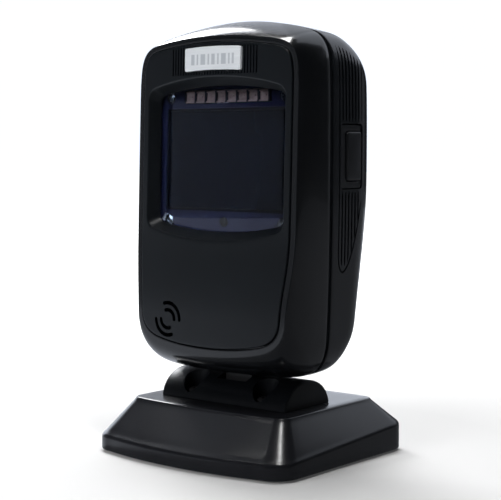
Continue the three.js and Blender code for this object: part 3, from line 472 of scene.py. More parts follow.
def patch_outline():
    """The groove round the patch: down its front, round the tip and up its curved rear."""
    tip_y, tip_z = PATCH_TIP
    top = patch_top(PATCH_REAR)
    path = [(PATCH_FRONT, z) for z in np.linspace(patch_top(PATCH_FRONT), PATCH_TURN, 24)]
    path += [tuple(p) for p in quadratic((PATCH_FRONT, PATCH_TURN), (PATCH_FRONT + 0.2, tip_z + 0.6),
                                         (tip_y, tip_z), 12)]
    path += [(y, patch_low(y)) for y in lerp(tip_y, PATCH_REAR, np.linspace(0.06, 1, 24))]
    rear = [(PATCH_REAR, z) for z in np.linspace(path[-1][1], top, 22)]
    rear_above_key = [(PATCH_REAR, z) for z in np.linspace(KEY_FRAME["top"] + KEY_CLEAR, top, 22)]
    return [groove_data(route, PATCH_DEEP, PATCH_HALF_WIDTH, side)
            for route, side in ((path + rear[1:], -1), (path, 1), (rear_above_key, 1))]


def side_rect(size, grow):
    """Outline of the key or its frame, seen from the side."""
    return rounded_rect(size["front"] - grow, size["rear"] + grow, size["bottom"] - grow,
                        size["top"] + grow, size["r"] + grow, corner_steps=8)


def side_view(points, x):
    """Ring of Y, Z points put at x."""
    return np.stack([np.broadcast_to(x, len(points)), points[:, 0], points[:, 1]], 1)


def rear_shell():
    """Closed shell: seam edge with its step, rounded back, and the same again inside."""
    rings = [front_view(inset(SEAM, d), SEAM_Y + y) for d, y in (
        (WALL, 0.05), (1.6, 0.05), (1.6, 0.5), (0.8, 0.5), (0.8, 1.15), (0.3, 1.2), (0.1, 1.32),
        (0.02, 1.55))]
    rings += [rear_ring(math.sin(a), 0) for a in np.linspace(0.08, math.pi / 2, 34)]
    back = rings[-1][:, [0, 2]]

    def cap(shrink):
        return lambda points: front_view(points, SEAM_Y + rear_depth(points[:, 1], shrink))

    rings += shrinking(back, BACK_MIDDLE, 16, cap(0))
    inner = [rear_ring(t, WALL) for t in (0.02, 0.3, 0.5, 0.7, 0.85, 0.95, 1)]
    inner += shrinking(inner[-1][:, [0, 2]], BACK_MIDDLE, 4, cap(WALL))
    obj = skin("rear_shell_fine", inner[::-1] + rings)
    cutters = rib_grooves()
    cutters += [bar_data("Y", SHELL_SCREW_BORE, SHELL_SCREW_SEAT, OUTSIDE, (s * x, z), 40)
                for x, z in SHELL_SCREWS for s in SIDES]
    cutters.append(block_data(-SOCKET_HOLE["half_x"], SOCKET_HOLE["half_x"], SOCKET_HOLE["front"],
                              OUTSIDE, SOCKET_HOLE["bottom"], SOCKET_HOLE["top"]))
    key_hole = side_rect(KEY_FRAME, FIT)
    cutters.append(skin_data([side_view(key_hole, 30), side_view(key_hole, 50)]))
    return carve(carve(carve(obj, cutters), patch_outline()), [channel_data()])


def seam_gasket():
    """Soft strip in the groove between the two shells."""
    rings = [front_view(inset(SEAM, d), SEAM_Y + y) for d, y in (
        (1.5, -0.38), (1.15, -0.38), (1.0, -0.25), (0.95, 0), (1.0, 0.25), (1.15, 0.38),
        (1.5, 0.38))]
    return carve(skin("seam_gasket_fine", rings, closed=True), [channel_data(WALL, 64)])


GRILLE = dict(each_side=15, pitch=1.25, bottom=133.0, top=143.2, droop=0.0022, half_width=0.325,
              deep=0.6)
SPEAKER = dict(at=(-18, 48), radii=(5.7, 3.2), facing=(54, 238), half_angle=54, half_width=0.675)


def grille_cutters():
    """Fine upright grooves on both sides of the name plate and under it."""
    pieces = []
    for i in range(-GRILLE["each_side"], GRILLE["each_side"] + 1):
        x = i * GRILLE["pitch"]
        low, high, w = GRILLE["bottom"], GRILLE["top"] - GRILLE["droop"] * x * x, GRILLE["half_width"]
        rings = []
        for z, s in ((low, 0.25), (low + 0.2, 0.8), (low + 0.5, 1), (high - 0.5, 1),
                     (high - 0.2, 0.8), (high, 0.25)):
            front = face_y(x, z) - 2
            floor = face_y(x, z) + GRILLE["deep"] * s
            rings.append(np.array([(x - w, front, z), (x + w, front, z), (x + w, floor - 0.12, z),
                                   (x + w * 0.5, floor, z), (x - w * 0.5, floor, z),
                                   (x - w, floor - 0.12, z)]))
        pieces.append(skin_data(rings))
    return pieces


def arc(centre, r, start, stop, count):
    return [(centre[0] + r * math.cos(a), centre[1] + r * math.sin(a))
            for a in np.linspace(start, stop, count)]


def speaker_cutters():
    """Two pairs of curved, round-ended slots facing each other."""
    pieces = []
    half, width = math.radians(SPEAKER["half_angle"]), SPEAKER["half_width"]
    for r in SPEAKER["radii"]:
        for middle in np.radians(SPEAKER["facing"]):
            start, stop = middle - half, middle + half
            points = arc((0, 0), r + width, start, stop, 18) + round_end(r, stop, width, stop)
            points += arc((0, 0), r - width, stop, start, 18)
            points += round_end(r, start, width, start + math.pi)
            ring = np.array(points) + SPEAKER["at"]
            pieces.append(skin_data([front_view(ring, FACE_Y - 4), front_view(ring, FACE_Y + 4)]))
    return pieces


def round_end(r, at, width, start):
    """Half circle that closes a curved slot of radius r at an angle."""
    centre = (r * math.cos(at), r * math.sin(at))
    return arc(centre, width, start, start + math.pi, 10)[1:-1]


def face_panel():
    """Closed ring: panel edge, curved face, rolled window edge, sloped recess, tub behind."""
    outer, inner = bowed(WINDOW_OUTER, 0.9), bowed(WINDOW_INNER)
    y_out, y_in = FACE_Y - 1.5, GLASS_Y - 0.7

    def slope(depth):
        """Ring on the recess wall at a depth behind the face."""
        ring = outer
        for _ in range(3):
            y = face_y(ring[:, 0], ring[:, 1]) + depth
            ring = outer + (inner - outer) * np.clip((y - y_out) / (y_in - y_out), 0, 1)[:, None]
        return ring

    def on_face(points, back=0.0):
        return front_view(points, face_y(points[:, 0], points[:, 1]) + back)

    edge = inset(RIM, FACE_INSET)
    rings = [on_face(edge, FACE_THICK)]
    rings += [on_face(inset(RIM, FACE_INSET + d), y) for d, y in (
        (0, 0.35), (0.03, 0.18), (0.1, 0.07), (0.2, 0.02), (0.35, 0))]
    lip, start = slope(0), inset(slope(0), -0.35)
    face_start = inset(RIM, FACE_INSET + 0.35)
    rings += [on_face(lerp(face_start, start, s)) for s in np.linspace(0.03, 1, 30)]
    end = slope(0.4)
    for t in (0.2, 0.4, 0.6, 0.8, 1.0):
        ring = (1 - t) ** 2 * start + 2 * t * (1 - t) * lip + t * t * end
        rings.append(on_face(ring, t * t * 0.4))
    for depth in (1.2, 2.4, 3.4):
        rings.append(on_face(slope(depth), depth))
    rings += [front_view(lerp(outer, inner, 0.93), lerp(y_out, y_in, 0.93)),
              front_view(inset(inner, -0.05), y_in - 0.08), front_view(inner, y_in + 0.1),
              front_view(inner, GLASS_Y - REST)]
    seat = bowed(WINDOW_INNER, GLASS_MARGIN + FIT)
    tub = bowed(TUB)
    rings += [front_view(seat, GLASS_Y - REST), front_view(seat, TUB_REAR),
              front_view(tub, TUB_REAR), on_face(tub, FACE_THICK)]
    points, faces = skin_data(rings, closed=True)
    obj = make("face_panel_fine", leaned(points), faces)
    pocket = arched(BADGE, 0.25)
    obj = carve(obj, [lean_data(c) for c in grille_cutters() + speaker_cutters()])
    hole = skin_data([front_view(pocket, FACE_Y - 3), front_view(pocket, FACE_Y + BADGE_SEAT)])
    return carve(obj, [lean_data(hole)])


def window_glass():
    """Flat pane with rounded edges, seated behind the recess."""
    plate = bowed(WINDOW_INNER, GLASS_MARGIN)
    rings = [front_view(inset(plate, d), GLASS_Y + y) for d, y in (
        (0.25, 0), (0.07, 0.07), (0, 0.25), (0, GLASS_THICK - 0.25), (0.07, GLASS_THICK - 0.07),
        (0.25, GLASS_THICK))]
    points, faces = skin_data(rings)
    return make("window_glass_fine", leaned(points), faces, sharp=60)


def name_plate():
    """Thin satin plate that follows the face, with rolled edges."""
    ring = arched(BADGE)

    def raised(points, up):
        return front_view(points, face_y(points[:, 0], points[:, 1]) + BADGE_SEAT - up)

    rings = [front_view(ring, FACE_Y + BADGE_SEAT - REST)]
    rings += [raised(inset(ring, d), BADGE_THICK - down) for d, down in (
        (0, 0.3), (0.04, 0.15), (0.12, 0.04), (0.26, 0))]
    rings += shrinking(inset(ring, 0.26), (0, 138.4), 10, lambda p: raised(p, BADGE_THICK))
    points, faces = skin_data(rings)
    return make("name_plate_fine", leaned(points), faces)


def rect_rings(size, stops):
    return [side_view(side_rect(size, grow), x) for grow, x in stops]


def key_frame():
    """Bezel with a rolled rim round the trigger key."""
    outer = [(0, 33.9), (0, 36.2), (-0.06, 36.38), (-0.22, 36.48), (-0.45, 36.5)]
    rings = rect_rings(KEY_FRAME, outer)
    rings += rect_rings(KEY, [(0.75, 36.5), (0.45, 36.46), (0.3, 36.34), (0.25, 36.1), (0.25, 33.9)])
    return skin("key_frame_fine", rings, closed=True)


def trigger_key():
    """Crowned key with rounded edges."""
    rings = rect_rings(KEY, [(0, 32.7), (0, 36.75), (-0.08, 37.0), (-0.26, 37.17), (-0.55, 37.27)])
    middle = ((KEY["front"] + KEY["rear"]) / 2, (KEY["bottom"] + KEY["top"]) / 2)
    edge = side_rect(KEY, -0.55)
    far = np.abs(edge - middle).max(0)

    def crown(points):
        u = np.clip(np.abs(points - middle) / far, 0, 1)
        return side_view(points, 37.27 + 0.22 * (1 - u[:, 0] ** 2) * (1 - u[:, 1] ** 4))

    rings += shrinking(edge, middle, 10, crown)
    return skin("trigger_key_fine", rings)


# --- base
SKIRT_RISE = (-31, 33)
TABLE_MIDDLE = (0, 0.5)


def base_shell():
    """Closed shell: skirt that rises to the rear, bent top edge, slope, flat top, and inside."""
    b = BASE
    top, underside = b["top"], b["underside"]

    def skirt_ring(d):
        return rounded_rect(-b["half_x"] + d, b["half_x"] - d, b["front"] + d, b["rear"] - d,
                            b["corner"] - d, b["bow"])

    def table_ring(d):
        return rounded_rect(-b["top_half_x"] + d, b["top_half_x"] - d, b["top_front"] + d,
                            b["top_rear"] - d, b["top_corner"] - d * 0.5, b["top_bow"])

    low, high = skirt_ring(0), table_ring(-0.5)
    start, stop = SKIRT_RISE
    skirt = lerp(b["front_skirt"], b["rear_skirt"], np.clip((low[:, 1] - start) / (stop - start), 0, 1))

    def profile(u, z):
        return plan_view(low + (high - low) * np.broadcast_to(u, len(low))[:, None], z)

    def bend(t, z0, z1, z2):
        return (1 - t) ** 2 * z0 + 2 * t * (1 - t) * z1 + t * t * z2

    rings = [plan_view(skirt_ring(d), underside + z) for d, z in (
        (b["wall"], 0), (0.45, 0), (0.13, 0.13), (0, 0.45))]
    edge_u, edge_z = 0.08, skirt + b["edge"]
    rings.append(profile(0, (underside + 0.45 + skirt) / 2))
    for t in (0, 0.25, 0.5, 0.75, 1.0):
        z = bend(t, skirt - 0.8, skirt + 0.35, edge_z + 0.27 * b["edge"])
        rings.append(profile(t * t * edge_u * 1.35, z))
    slope_top = top - 0.45
    for t in (0.1, 0.3, 0.5, 0.7, 0.86, 0.94):
        rings.append(profile(lerp(edge_u, 1.0, t), lerp(edge_z, slope_top, t)))
    last = 0.97
    for t in (0.34, 0.67, 1.0):
        z = bend(t, lerp(edge_z, slope_top, last), top - 0.38, top - 0.22)
        rings.append(profile(lerp(lerp(edge_u, 1.0, last), 1.0, t), z))
    rings.append(plan_view(table_ring(-0.28), top - 0.08))
    flat, ceiling = table_ring(0.1), table_ring(b["wall"])
    rings.append(plan_view(flat, top))
    rings += shrinking(flat, TABLE_MIDDLE, 10, lambda p: plan_view(p, top))
    inner = [plan_view(skirt_ring(b["wall"]), z) for z in (1.6, 4.5)]
    inner.append(plan_view(ceiling, top - b["wall"]))
    inner += shrinking(ceiling, TABLE_MIDDLE, 3, lambda p: plan_view(p, top - b["wall"]))
    return skin("base_shell_fine", inner[::-1] + rings)


def neck_saddle():
    """Low oval barrel with rolled ends, the four screw pockets and the arm's slot."""
    floor = BASE["top"] + REST
    arc_steps, floor_steps = 72, 12

    def section(shrink, x):
        wide, high = NECK_Y - shrink, NECK_HIGH - shrink
        low = math.asin((floor - TILT_Z) / high)
        arc = np.linspace(low, math.pi - low, arc_steps)
        points = [(TILT_Y + wide * math.cos(a), TILT_Z + high * math.sin(a)) for a in arc]
        points += [(lerp(points[arc_steps - 1][0], points[0][0], k / floor_steps), floor)
                   for k in range(1, floor_steps)]
        return side_view(np.array(points), x)

    stops = [(0.9, 0), (0.42, 0.1), (0.14, 0.3), (0, 0.75)]
    rings = [section(d, -NECK_X + x) for d, x in stops]
    rings += [section(0, x) for x in np.linspace(-NECK_X + 4, NECK_X - 4, 12)]
    rings += [section(d, NECK_X - x) for d, x in reversed(stops)]
    pocket = NECK_SCREW
    cutters = [bar_data("Z", pocket["pocket_r"], pocket["pocket_floor"], 60,
                        (sx * pocket["x"], TILT_Y + sy * pocket["y"]), 48)
               for sx in SIDES for sy in SIDES]
    half_x, half_y = ARM_SLOT["half_x"], ARM_SLOT["half_y"]
    cutters.append(block_data(-half_x, half_x, TILT_Y - half_y, TILT_Y + half_y, ARM_SLOT["floor"], 60))
    return carve(skin("neck_saddle_fine", rings), cutters)


def foot(at):
    profile = [(0, 0.15), (4.2, 0.15), (4.25, 0.0), (4.7, 0.0), (4.92, 0.08), (5, 0.3), (5, 1.6),
               (0, 1.6)]
    return turned(lathe_data(profile, 64), Matrix.Translation(Vector((*at, 0))))


# --- fasteners and optics
def screw_object(name, sizes, place, matrix, tilted):
    """Pan-head screw along +Z with a crowned head and a cross recess, head seat at z = 0."""
    head_r, high, shank_r, long = sizes
    profile = [(0, -long), (shank_r * 0.5, -long), (shank_r, -long + shank_r), (shank_r, 0),
               (head_r, 0), (head_r, high * 0.35)]
    profile += [(head_r * math.cos(a), high * (0.35 + 0.65 * math.sin(a)))
                for a in np.radians((20, 40, 60, 75))] + [(0, high)]
    body = lathe_data(profile, 40)
    whole = Matrix.Translation(Vector(place)) @ matrix
    reach, half = head_r * 0.55, head_r * 0.13
    slots = [block_data(-reach, reach, -half, half, high * 0.4, high + 1),
             block_data(-half, half, -reach, reach, high * 0.4, high + 1)]
    lean = lean_data if tilted else (lambda d: d)
    obj = gather(name, [lean(turned(body, whole))])
    for slot in slots:
        obj = carve(obj, [lean(turned(slot, whole))])
    return obj


UP = Matrix.Identity(4)
DOWN = Matrix.Rotation(math.pi, 4, "X")
FORWARD = Matrix.Rotation(math.pi / 2, 4, "X")
BACKWARD = Matrix.Rotation(-math.pi / 2, 4, "X")


CELLS = dict(count=8, pitch=4.65, half_x=18.9, bottom=123.9, top=127.7, front=-13.7, rear=-10.2,
             wall=0.6)
LENS = dict(at=(0, 3.1, 104.2), r=3.3)
SENSOR = dict(at=(0, -13.3, 82.8), r=1.6)


def led_reflector():
    """Row of funnel-shaped cells with thin rounded dividers."""
    bottom, top, front, rear = (CELLS[side] for side in ("bottom", "top", "front", "rear"))
    body = block_data(-CELLS["half_x"], CELLS["half_x"], front, rear, bottom, top)
    half, half_high = (CELLS["pitch"] - CELLS["wall"]) / 2, (top - bottom - CELLS["wall"]) / 2
    z = (bottom + top) / 2
    holes = []
    for i in range(CELLS["count"]):
        x = (i - (CELLS["count"] - 1) / 2) * CELLS["pitch"]
        rings = []
        for y, wide, high in ((front - 0.01, 1, 1), (front + 0.5, 0.97, 0.96),
                              (front + 0.9, 0.85, 0.8), (front + 1.2, 0.15, 0.15),
                              (rear + 0.01, 0.12, 0.12)):
            reach, up = half * wide, half_high * high
            ring = rounded_rect(x - reach, x + reach, z - up, z + up, 0.3 * up, corner_steps=4)
            rings.append(front_view(ring, y))
        holes.append(lean_data(skin_data(rings)))
    return bevelled(carve(gather("led_reflector_fine", [lean_data(body)]), holes), 0.08)


def domed(name, size, profile, rise, angles, sides):
    """Round piece that faces forward: a stepped side, then a dome of the given rise."""
    r, step = size["r"], profile[-1][1]
    dome = [(r * math.cos(a), step + rise * math.sin(a)) for a in np.radians(angles)]
    body = lathe_data(profile + dome + [(0, step + rise)], sides)
    place = Matrix.Translation(Vector(size["at"])) @ FORWARD
    return gather(name, [lean_data(turned(body, place))])


def camera_lens():
    profile = [(0, 0), (3.9, 0), (3.9, 1.4), (3.75, 1.6), (3.3, 1.75)]
    return domed("camera_lens_fine", LENS, profile, 1.2, (15, 30, 45, 60, 75), 64)


def presence_sensor():
    profile = [(0, 0), (1.6, 0), (1.6, 0.4)]
    return domed("presence_sensor_fine", SENSOR, profile, 0.8, (20, 40, 60, 78), 40)


# --- materials
class Graph:
    """A material's node tree with short calls for the nodes used here."""

    def __init__(self, name):
        self.material = bpy.data.materials.new(f"{name}_look")
        self.material.use_nodes = True
        self.tree = self.material.node_tree
        self.shader = self.tree.nodes["Principled BSDF"]
        self.place = self.node("TexCoord").outputs["Object"]

    def node(self, kind):
        return self.tree.nodes.new(f"ShaderNode{kind}")

    def link(self, source, target):
        self.tree.links.new(source, target)

    def feed(self, name, source):
        """source goes into one of the shader's inputs."""
        self.link(source, self.shader.inputs[name])

    def noise(self, scale, detail, rough=0.5, stretch=None):
        node = self.node("TexNoise")
        node.inputs["Scale"].default_value = scale
        node.inputs["Detail"].default_value = detail
        node.inputs["Roughness"].default_value = rough
        place = self.place
        if stretch:
            mapping = self.node("Mapping")
            mapping.inputs["Scale"].default_value = stretch
            self.link(place, mapping.inputs["Vector"])
            place = mapping.outputs["Vector"]
        self.link(place, node.inputs["Vector"])
        return node.outputs["Fac"]

    def ranged(self, source, low, high, start=0.3, stop=0.7):
        node = self.node("MapRange")
        for name, value in (("From Min", start), ("From Max", stop), ("To Min", low),
                            ("To Max", high)):
            node.inputs[name].default_value = value
        self.link(source, node.inputs["Value"])
        return node.outputs["Result"]

    def compute(self, operation, a, b=0.0):
        """Arithmetic on sockets and plain numbers."""
        node = self.node("Math")
        node.operation = operation
        for socket, value in zip(node.inputs, (a, b)):
            if isinstance(value, (int, float)):
                socket.default_value = value
            else:
                self.link(value, socket)
        return node.outputs[0]

    def axis(self, index):
        """X, Y or Z of the place on the object, as 0, 1 or 2."""
        split = self.node("SeparateXYZ")
        self.link(self.place, split.inputs["Vector"])
        return split.outputs[index]

    def mixed(self, source, first, second):
        node = self.node("Mix")
        node.data_type = "RGBA"
        for socket, value in ((node.inputs[6], first), (node.inputs[7], second)):
            if isinstance(value, tuple):
                socket.default_value = (*value, 1)
            else:
                self.link(value, socket)
        self.link(source, node.inputs[0])
        return node.outputs[2]

    def bump(self, source, distance, strength):
        node = self.node("Bump")
        node.inputs["Distance"].default_value = distance
        node.inputs["Strength"].default_value = strength
        self.link(source, node.inputs["Height"])
        self.feed("Normal", node.outputs["Normal"])

    def set(self, **values):
        for name, value in values.items():
            self.shader.inputs[name.replace("_", " ")].default_value = value


def shade(color, by):
    return tuple(c * by for c in color)


GRAIN_DEPTH = 0.008 * MM


def moulded(name, color, rough, grain, spread=0.12, coat=0.0, coat_rough=0.05, metal=0.0,
            specular=0.5, rough_spread=0.05):
    """Moulded plastic or metal: cloudy colour, uneven gloss, fine grain, polished high edges."""
    g = Graph(name)
    cloud = g.noise(55, 4)
    worn = g.node("NewGeometry").outputs["Pointiness"]
    body = g.mixed(g.ranged(cloud, 0, 1), shade(color, 1 - spread), shade(color, 1 + spread))
    edges = g.ranged(worn, 0, 0.5, 0.53, 0.62)
    g.feed("Base Color", g.mixed(edges, body, shade(color, 1.4)))
    g.feed("Roughness", g.ranged(g.noise(140, 5, 0.6), rough - rough_spread, rough + rough_spread))
    g.set(Metallic=metal, Specular_IOR_Level=specular, Coat_Weight=coat, Coat_Roughness=coat_rough)
    if grain:
        g.bump(g.noise(1900, 2, 0.55), GRAIN_DEPTH * grain, 0.5)
    return g.material


def brushed(name, color, rough):
    """Bare metal with fine lines."""
    g = Graph(name)
    lines = g.noise(900, 3, 0.6, (1, 1, 0.03))
    g.feed("Base Color", g.mixed(g.ranged(lines, 0, 1), shade(color, 0.8), shade(color, 1.12)))
    g.feed("Roughness", g.ranged(lines, rough - 0.08, rough + 0.08))
    g.set(Metallic=1.0)
    g.bump(lines, 0.01 * MM, 0.5)
    return g.material


def window_material():
    """Thin tinted pane: mostly seen through, with a faint coating that is never quite even."""
    g = Graph("window_tint")
    haze = g.noise(60, 4)
    g.feed("Base Color", g.mixed(g.ranged(haze, 0, 1), (0.52, 0.58, 0.66), (0.60, 0.65, 0.72)))
    g.feed("Roughness", g.ranged(g.noise(220, 4), 0.02, 0.06))
    g.set(Transmission_Weight=1.0, IOR=1.45)
    return g.material


def cell_material():
    """Warm metallised reflector, with shade painted near-black along the dividers between its cells."""
    g = Graph("reflector_copper")
    mottle = g.noise(700, 3)
    warm = g.mixed(g.ranged(mottle, 0, 1), (0.42, 0.27, 0.22), (0.62, 0.43, 0.36))
    from_divider = g.compute("PINGPONG", g.axis(0), CELLS["pitch"] / 2 * MM)
    # Painted shade: a thin near-black band on each divider stands in for the shadow between the cells.
    painted_divider_shade = g.compute("LESS_THAN", from_divider, 0.42 * MM)
    g.feed("Base Color", g.mixed(painted_divider_shade, warm, (0.020, 0.018, 0.022)))
    g.feed("Roughness", g.ranged(mottle, 0.36, 0.46))
    return g.material


MARK_BARS = ((-9.4, 1.5), (-6.9, 0.7), (-5.1, 2.1), (-1.9, 0.7), (-0.2, 1.5), (2.4, 0.7), (4.1, 2.1),
             (7.2, 0.7), (8.8, 0.9))
MARK_Z, MARK_HALF_HEIGHT = 138.2, 1.8


def plate_material():
    """Satin silver plate with a generic mark of faint bars, each a start and a width."""
    g = Graph("plate_silver")
    grain = g.noise(1500, 3, 0.6, (0.05, 1, 1))
    metal = g.mixed(g.ranged(grain, 0, 1), (0.60, 0.63, 0.66), (0.68, 0.71, 0.74))
    mark = None
    for start, width in MARK_BARS:
        middle = (start + width / 2) * MM
        off = g.compute("ABSOLUTE", g.compute("SUBTRACT", g.axis(0), middle))
        bar = g.compute("LESS_THAN", off, width / 2 * MM)
        mark = bar if mark is None else g.compute("MAXIMUM", mark, bar)
    high = g.compute("ABSOLUTE", g.compute("SUBTRACT", g.axis(2), MARK_Z * MM))
    mark = g.compute("MULTIPLY", mark, g.compute("LESS_THAN", high, MARK_HALF_HEIGHT * MM))
    g.feed("Base Color", g.mixed(mark, metal, (0.42, 0.45, 0.49)))
    g.feed("Roughness", g.ranged(grain, 0.34, 0.46))
    g.set(Metallic=0.35)
    g.bump(grain, 0.01 * MM, 0.3)
    return g.material


# Colour, roughness and grain of each moulded finish, and what else is unlike most of them.
MOULDED = {
    "base_gloss": ((0.0072, 0.0076, 0.0094), 0.25, 0.15, dict(rough_spread=0.012)),
    "front_gloss": ((0.0026, 0.0030, 0.0038), 0.20, 0.15,
                    dict(coat=0.4, coat_rough=0.06, rough_spread=0.02)),
    "rear_gloss": ((0.0040, 0.0048, 0.0062), 0.25, 0.15,
                   dict(coat=0.3, coat_rough=0.08, rough_spread=0.015)),
    "face_satin": ((0.0022, 0.0032, 0.0045), 0.36, 1.2, dict(rough_spread=0.03)),
    "key_satin": ((0.0070, 0.0078, 0.0095), 0.33, 1.0, {}),
    "neck_matte": ((0.0020, 0.0024, 0.0032), 0.42, 1.5, dict(specular=0.4)),
    "tilt_plastic": ((0.012, 0.012, 0.013), 0.5, 1.5, {}),
    "inner_matte": ((0.007, 0.0075, 0.009), 0.6, 2.0, dict(specular=0.3)),
    "plate_steel": ((0.014, 0.014, 0.014), 0.5, 3.0, {}),
    "weight_iron": ((0.2, 0.2, 0.21), 0.55, 6.0, dict(metal=1.0)),
    "soft_rubber": ((0.010, 0.010, 0.010), 0.8, 2.5, dict(specular=0.3)),
    "screw_black": ((0.035, 0.035, 0.038), 0.4, 1.0, dict(metal=0.8)),
    "filter_dark": ((0.0115, 0.0145, 0.0210), 0.12, 0, dict(rough_spread=0.01)),
    "board_blue": ((0.030, 0.032, 0.075), 0.4, 1.0, dict(spread=0.2)),
    "board_green": ((0.02, 0.08, 0.04), 0.4, 1.0, dict(spread=0.2)),
    "lens_glass": ((0.01, 0.015, 0.03), 0.06, 0, dict(coat=1.0, coat_rough=0.02)),
    "ribbon_white": ((0.6, 0.6, 0.57), 0.5, 1.0, {}),
}
LOOKS = {name: moulded(name, color, rough, grain, **more)
         for name, (color, rough, grain, more) in MOULDED.items()}
LOOKS["screw_steel"] = brushed("screw_steel", (0.72, 0.73, 0.75), 0.25)
LOOKS["axle_steel"] = brushed("axle_steel", (0.55, 0.56, 0.58), 0.3)
LOOKS["plate_silver"] = plate_material()
LOOKS["window_tint"] = window_material()
LOOKS["reflector_copper"] = cell_material()
SLOTS = {entry["node"]: entry["material_slot"] for entry in frame["record"]["subparts"]}


def stands_for(obj, body, node):
    """obj takes the place of a CAD node: same body, same finish."""
    look = SLOTS[node]
    obj.data.materials.clear()
    obj.data.materials.append(LOOKS[look])
    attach(obj, body)
    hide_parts(node)


for node_name, node_object in NODES.items():
    for material_slot in node_object.material_slots:
        material_slot.material = LOOKS[SLOTS[node_name]]

# --- the pieces on their bodies
# Each builder has the name of the CAD node that its piece stands for.
for body, builders in (
        ("head", (front_shell, rear_shell, seam_gasket, face_panel, window_glass, name_plate,
                  key_frame)),
        ("key", (trigger_key,)),
        ("head", (led_reflector, camera_lens, presence_sensor)),
        ("base", (base_shell, neck_saddle))):
    for build in builders:
        stands_for(build(), body, build.__name__)

FOOT_X, FOOT_Y = 31, 28
for index, at in enumerate([(s * FOOT_X, y) for y in (-FOOT_Y, FOOT_Y) for s in SIDES], 1):
    stands_for(gather(f"foot_{index}_fine", [foot(at)]), "base", f"foot_{index}")

# Each kind: name, body, head radius, head height, shank radius and length, direction, whether it
# leans with the face, and the places of its head's seat.
SCREWS = (
    ("plate_screw", "base", (2, 0.9, 0.9, 7), DOWN, False,
     [(s * 30, y, 1.15) for y in (-12, 12) for s in SIDES]),
    ("neck_screw", "base", (3.1, 1.8, 1.15, 10), UP, False,
     [(sx * NECK_SCREW["x"], TILT_Y + sy * NECK_SCREW["y"], NECK_SCREW["seat"])
      for sy in SIDES for sx in SIDES]),
    ("shell_screw", "head", (2.2, 1.6, 1, 11), BACKWARD, False,
     [(s * x, SHELL_SCREW_SEAT + REST, z) for x, z in SHELL_SCREWS for s in SIDES]),
    ("led_board_screw", "head", (1.9, 0.9, 0.85, 5), FORWARD, True,
     [(s * 25.1, -13.3, z) for z in (82.8, 125.6) for s in SIDES]),
)
for kind, body, sizes, direction, tilted, places in SCREWS:
    for index, place in enumerate(places, 1):
        piece = screw_object(f"{kind}_{index}_fine", sizes, place, direction, tilted)
        stands_for(piece, body, f"{kind}_{index}")

for node_name in ("base_plate", "led_board", "optics_hood", "camera_module", "cable_socket",
                  "tilt_bracket", "main_board", "key_board", "trigger_switch", "filter_pane"):
    bevelled(NODES[node_name], 0.12)


# --- stage, light and camera
def plain(name, color):
    """Almost even matt surface of the studio."""
    g = Graph(name)
    g.feed("Base Color", g.mixed(g.ranged(g.noise(3, 2), 0, 1), color, shade(color, 0.985)))
    g.feed("Roughness", g.ranged(g.noise(9, 3), 0.77, 0.83))
    return g


LIT_POINT = Vector((0, 0, 0.07))
RAYS = ("camera", "diffuse", "glossy", "transmission")
COOL = (0.90, 0.96, 1.08)
PALE, DARK = (0.62, 0.62, 0.62), (0.01, 0.01, 0.01)
GLOW_STARTS, GLOW_FULL = 0.1, 0.5


def stage_mesh(name, points, faces, look, glow, rays, tone=COOL):
    """Part of the studio. rays says which kinds of ray meet it."""
    mesh = bpy.data.meshes.new(name)
    mesh.from_pydata(points, [], faces)
    mesh.shade_smooth()
    look.set(Emission_Color=(*tone, 1), Emission_Strength=glow)
    mesh.materials.append(look.material)
    obj = linked(name, mesh)
    for ray in RAYS:
        setattr(obj, f"visible_{ray}", ray in rays)
    obj.visible_shadow = False


def level(name, look, sides, z, glow, rays, tone=COOL):
    """Level rectangle of the studio between two X and two Y sides."""
    x0, x1, y0, y1 = sides
    corners = [(x0, y0, z), (x1, y0, z), (x1, y1, z), (x0, y1, z)]
    stage_mesh(name, corners, [(0, 1, 2, 3)], look, glow, rays, tone)


def floor():
    """Pale floor that glows up to white far off, and the light it throws up at the object."""
    look = plain("floor", PALE)
    level("floor", look, (-6, 6, -6, 6), 0, 0.0, ("camera", "diffuse"), (1, 1, 1))
    length = look.node("VectorMath")
    length.operation = "LENGTH"
    look.link(look.place, length.inputs[0])
    glow = look.ranged(length.outputs["Value"], 0.05, 1.1, GLOW_STARTS, GLOW_FULL)
    look.feed("Emission Strength", glow)
    for name, sides, glow in (("return_left", (-1.5, -0.05, -0.6, 1.5), 0.6),
                              ("return_rear", (-0.05, 1.5, 0.03, 1.5), 0.10),
                              ("return_front", (-0.05, 1.5, -1.5, 0.03), 0.08)):
        level(name, plain(name, DARK), sides, -0.002, glow, ("glossy",))


def toward(bearing, elevation):
    """Direction at a bearing (degrees from -Y towards +X) and a height (degrees above level)."""
    a, e = math.radians(bearing), math.radians(elevation)
    return Vector((math.sin(a) * math.cos(e), -math.cos(a) * math.cos(e), math.sin(e)))


def card(name, bearings, heights, glow, rays=("glossy",), radius=2.4):
    """Curved card round the object between two bearings and two heights, in degrees."""
    points, faces = [], []
    across, up = 24, 6
    for k in range(up + 1):
        for i in range(across + 1):
            points.append(toward(lerp(*bearings, i / across), lerp(*heights, k / up)) * radius)
            if i and k:
                n = k * (across + 1) + i
                faces.append((n - across - 2, n - across - 1, n, n - 1))
    stage_mesh(name, points, faces, plain(name, DARK), glow, rays)


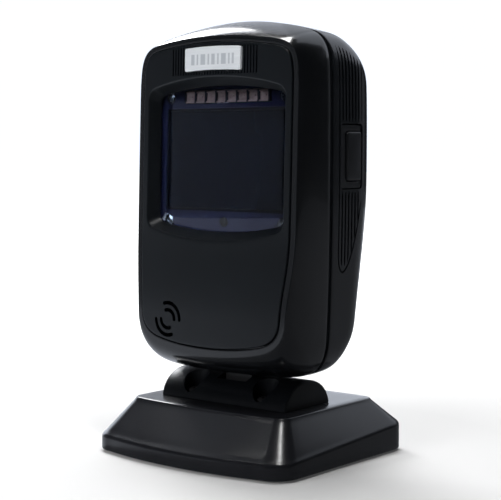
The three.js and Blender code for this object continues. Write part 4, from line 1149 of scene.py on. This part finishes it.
def softbox(name, bearing, elevation, distance, size, power, mirrored_in_gloss=True):
    """Rectangular area light aimed at the object."""
    light = bpy.data.lights.new(name, "AREA")
    light.shape = "RECTANGLE"
    light.size, light.size_y = size
    light.energy = power
    place = toward(bearing, elevation) * distance
    obj = linked(name, light)
    obj.location = LIT_POINT + place
    obj.rotation_euler = place.to_track_quat("Z", "Y").to_euler()
    obj.visible_camera = False
    obj.visible_glossy = obj.visible_transmission = mirrored_in_gloss


floor()
card("surround", (0, 360), (-1, 60), 1.1, ("camera",), 5.5)
card("crown_card_left", (231, 262), (0, 50), 2.2)
card("crown_card_middle", (217, 231), (0, 50), 0.65)
card("crown_card_right", (204, 217), (16, 64), 0.5)
card("platform_card", (204, 217), (0, 16), 1.6)
card("corner_card", (150, 204), (17, 64), 0.8)
card("slope_card", (266, 302), (43, 64), 0.3)
card("side_card", (150, 176), (-1, 17), 0.11)
card("face_card", (262, 342), (-12, 12), 0.17)
card("window_fill", (345, 420), (18, 60), 7.0, ("transmission",))
softbox("rear_left", 243, 36, 1.3, (0.5, 0.45), 9)
softbox("streak_left", 317, 52, 1.3, (0.02, 0.16), 0.3)
softbox("streak_right", 70, 72, 1.3, (0.10, 0.30), 5)
softbox("top_light", 225, 74, 1.3, (0.50, 0.50), 13)
softbox("front_fill", 352, 16, 1.6, (0.9, 0.5), 18, False)

world = bpy.data.worlds.new("studio")
bpy.context.scene.world = world
world.use_nodes = True
background = world.node_tree.nodes["Background"].inputs
background["Color"].default_value = (0.90, 0.95, 1.0, 1)
background["Strength"].default_value = 0.01
bpy.context.scene.view_settings.view_transform = "Standard"

AZIMUTH, PITCH = math.radians(39.27), math.radians(4.25)
camera_data = bpy.data.cameras.new("camera")
camera_data.sensor_width = 36
camera_data.lens = 99.19
camera_data.clip_start, camera_data.clip_end = 0.05, 30
camera = linked("camera", camera_data)
camera.location = (0.3099, -0.3772, 0.1082)
forward = Vector((-math.sin(AZIMUTH) * math.cos(PITCH), math.cos(AZIMUTH) * math.cos(PITCH),
                  -math.sin(PITCH)))
camera.rotation_euler = forward.to_track_quat("-Z", "Y").to_euler()
bpy.context.scene.camera = camera
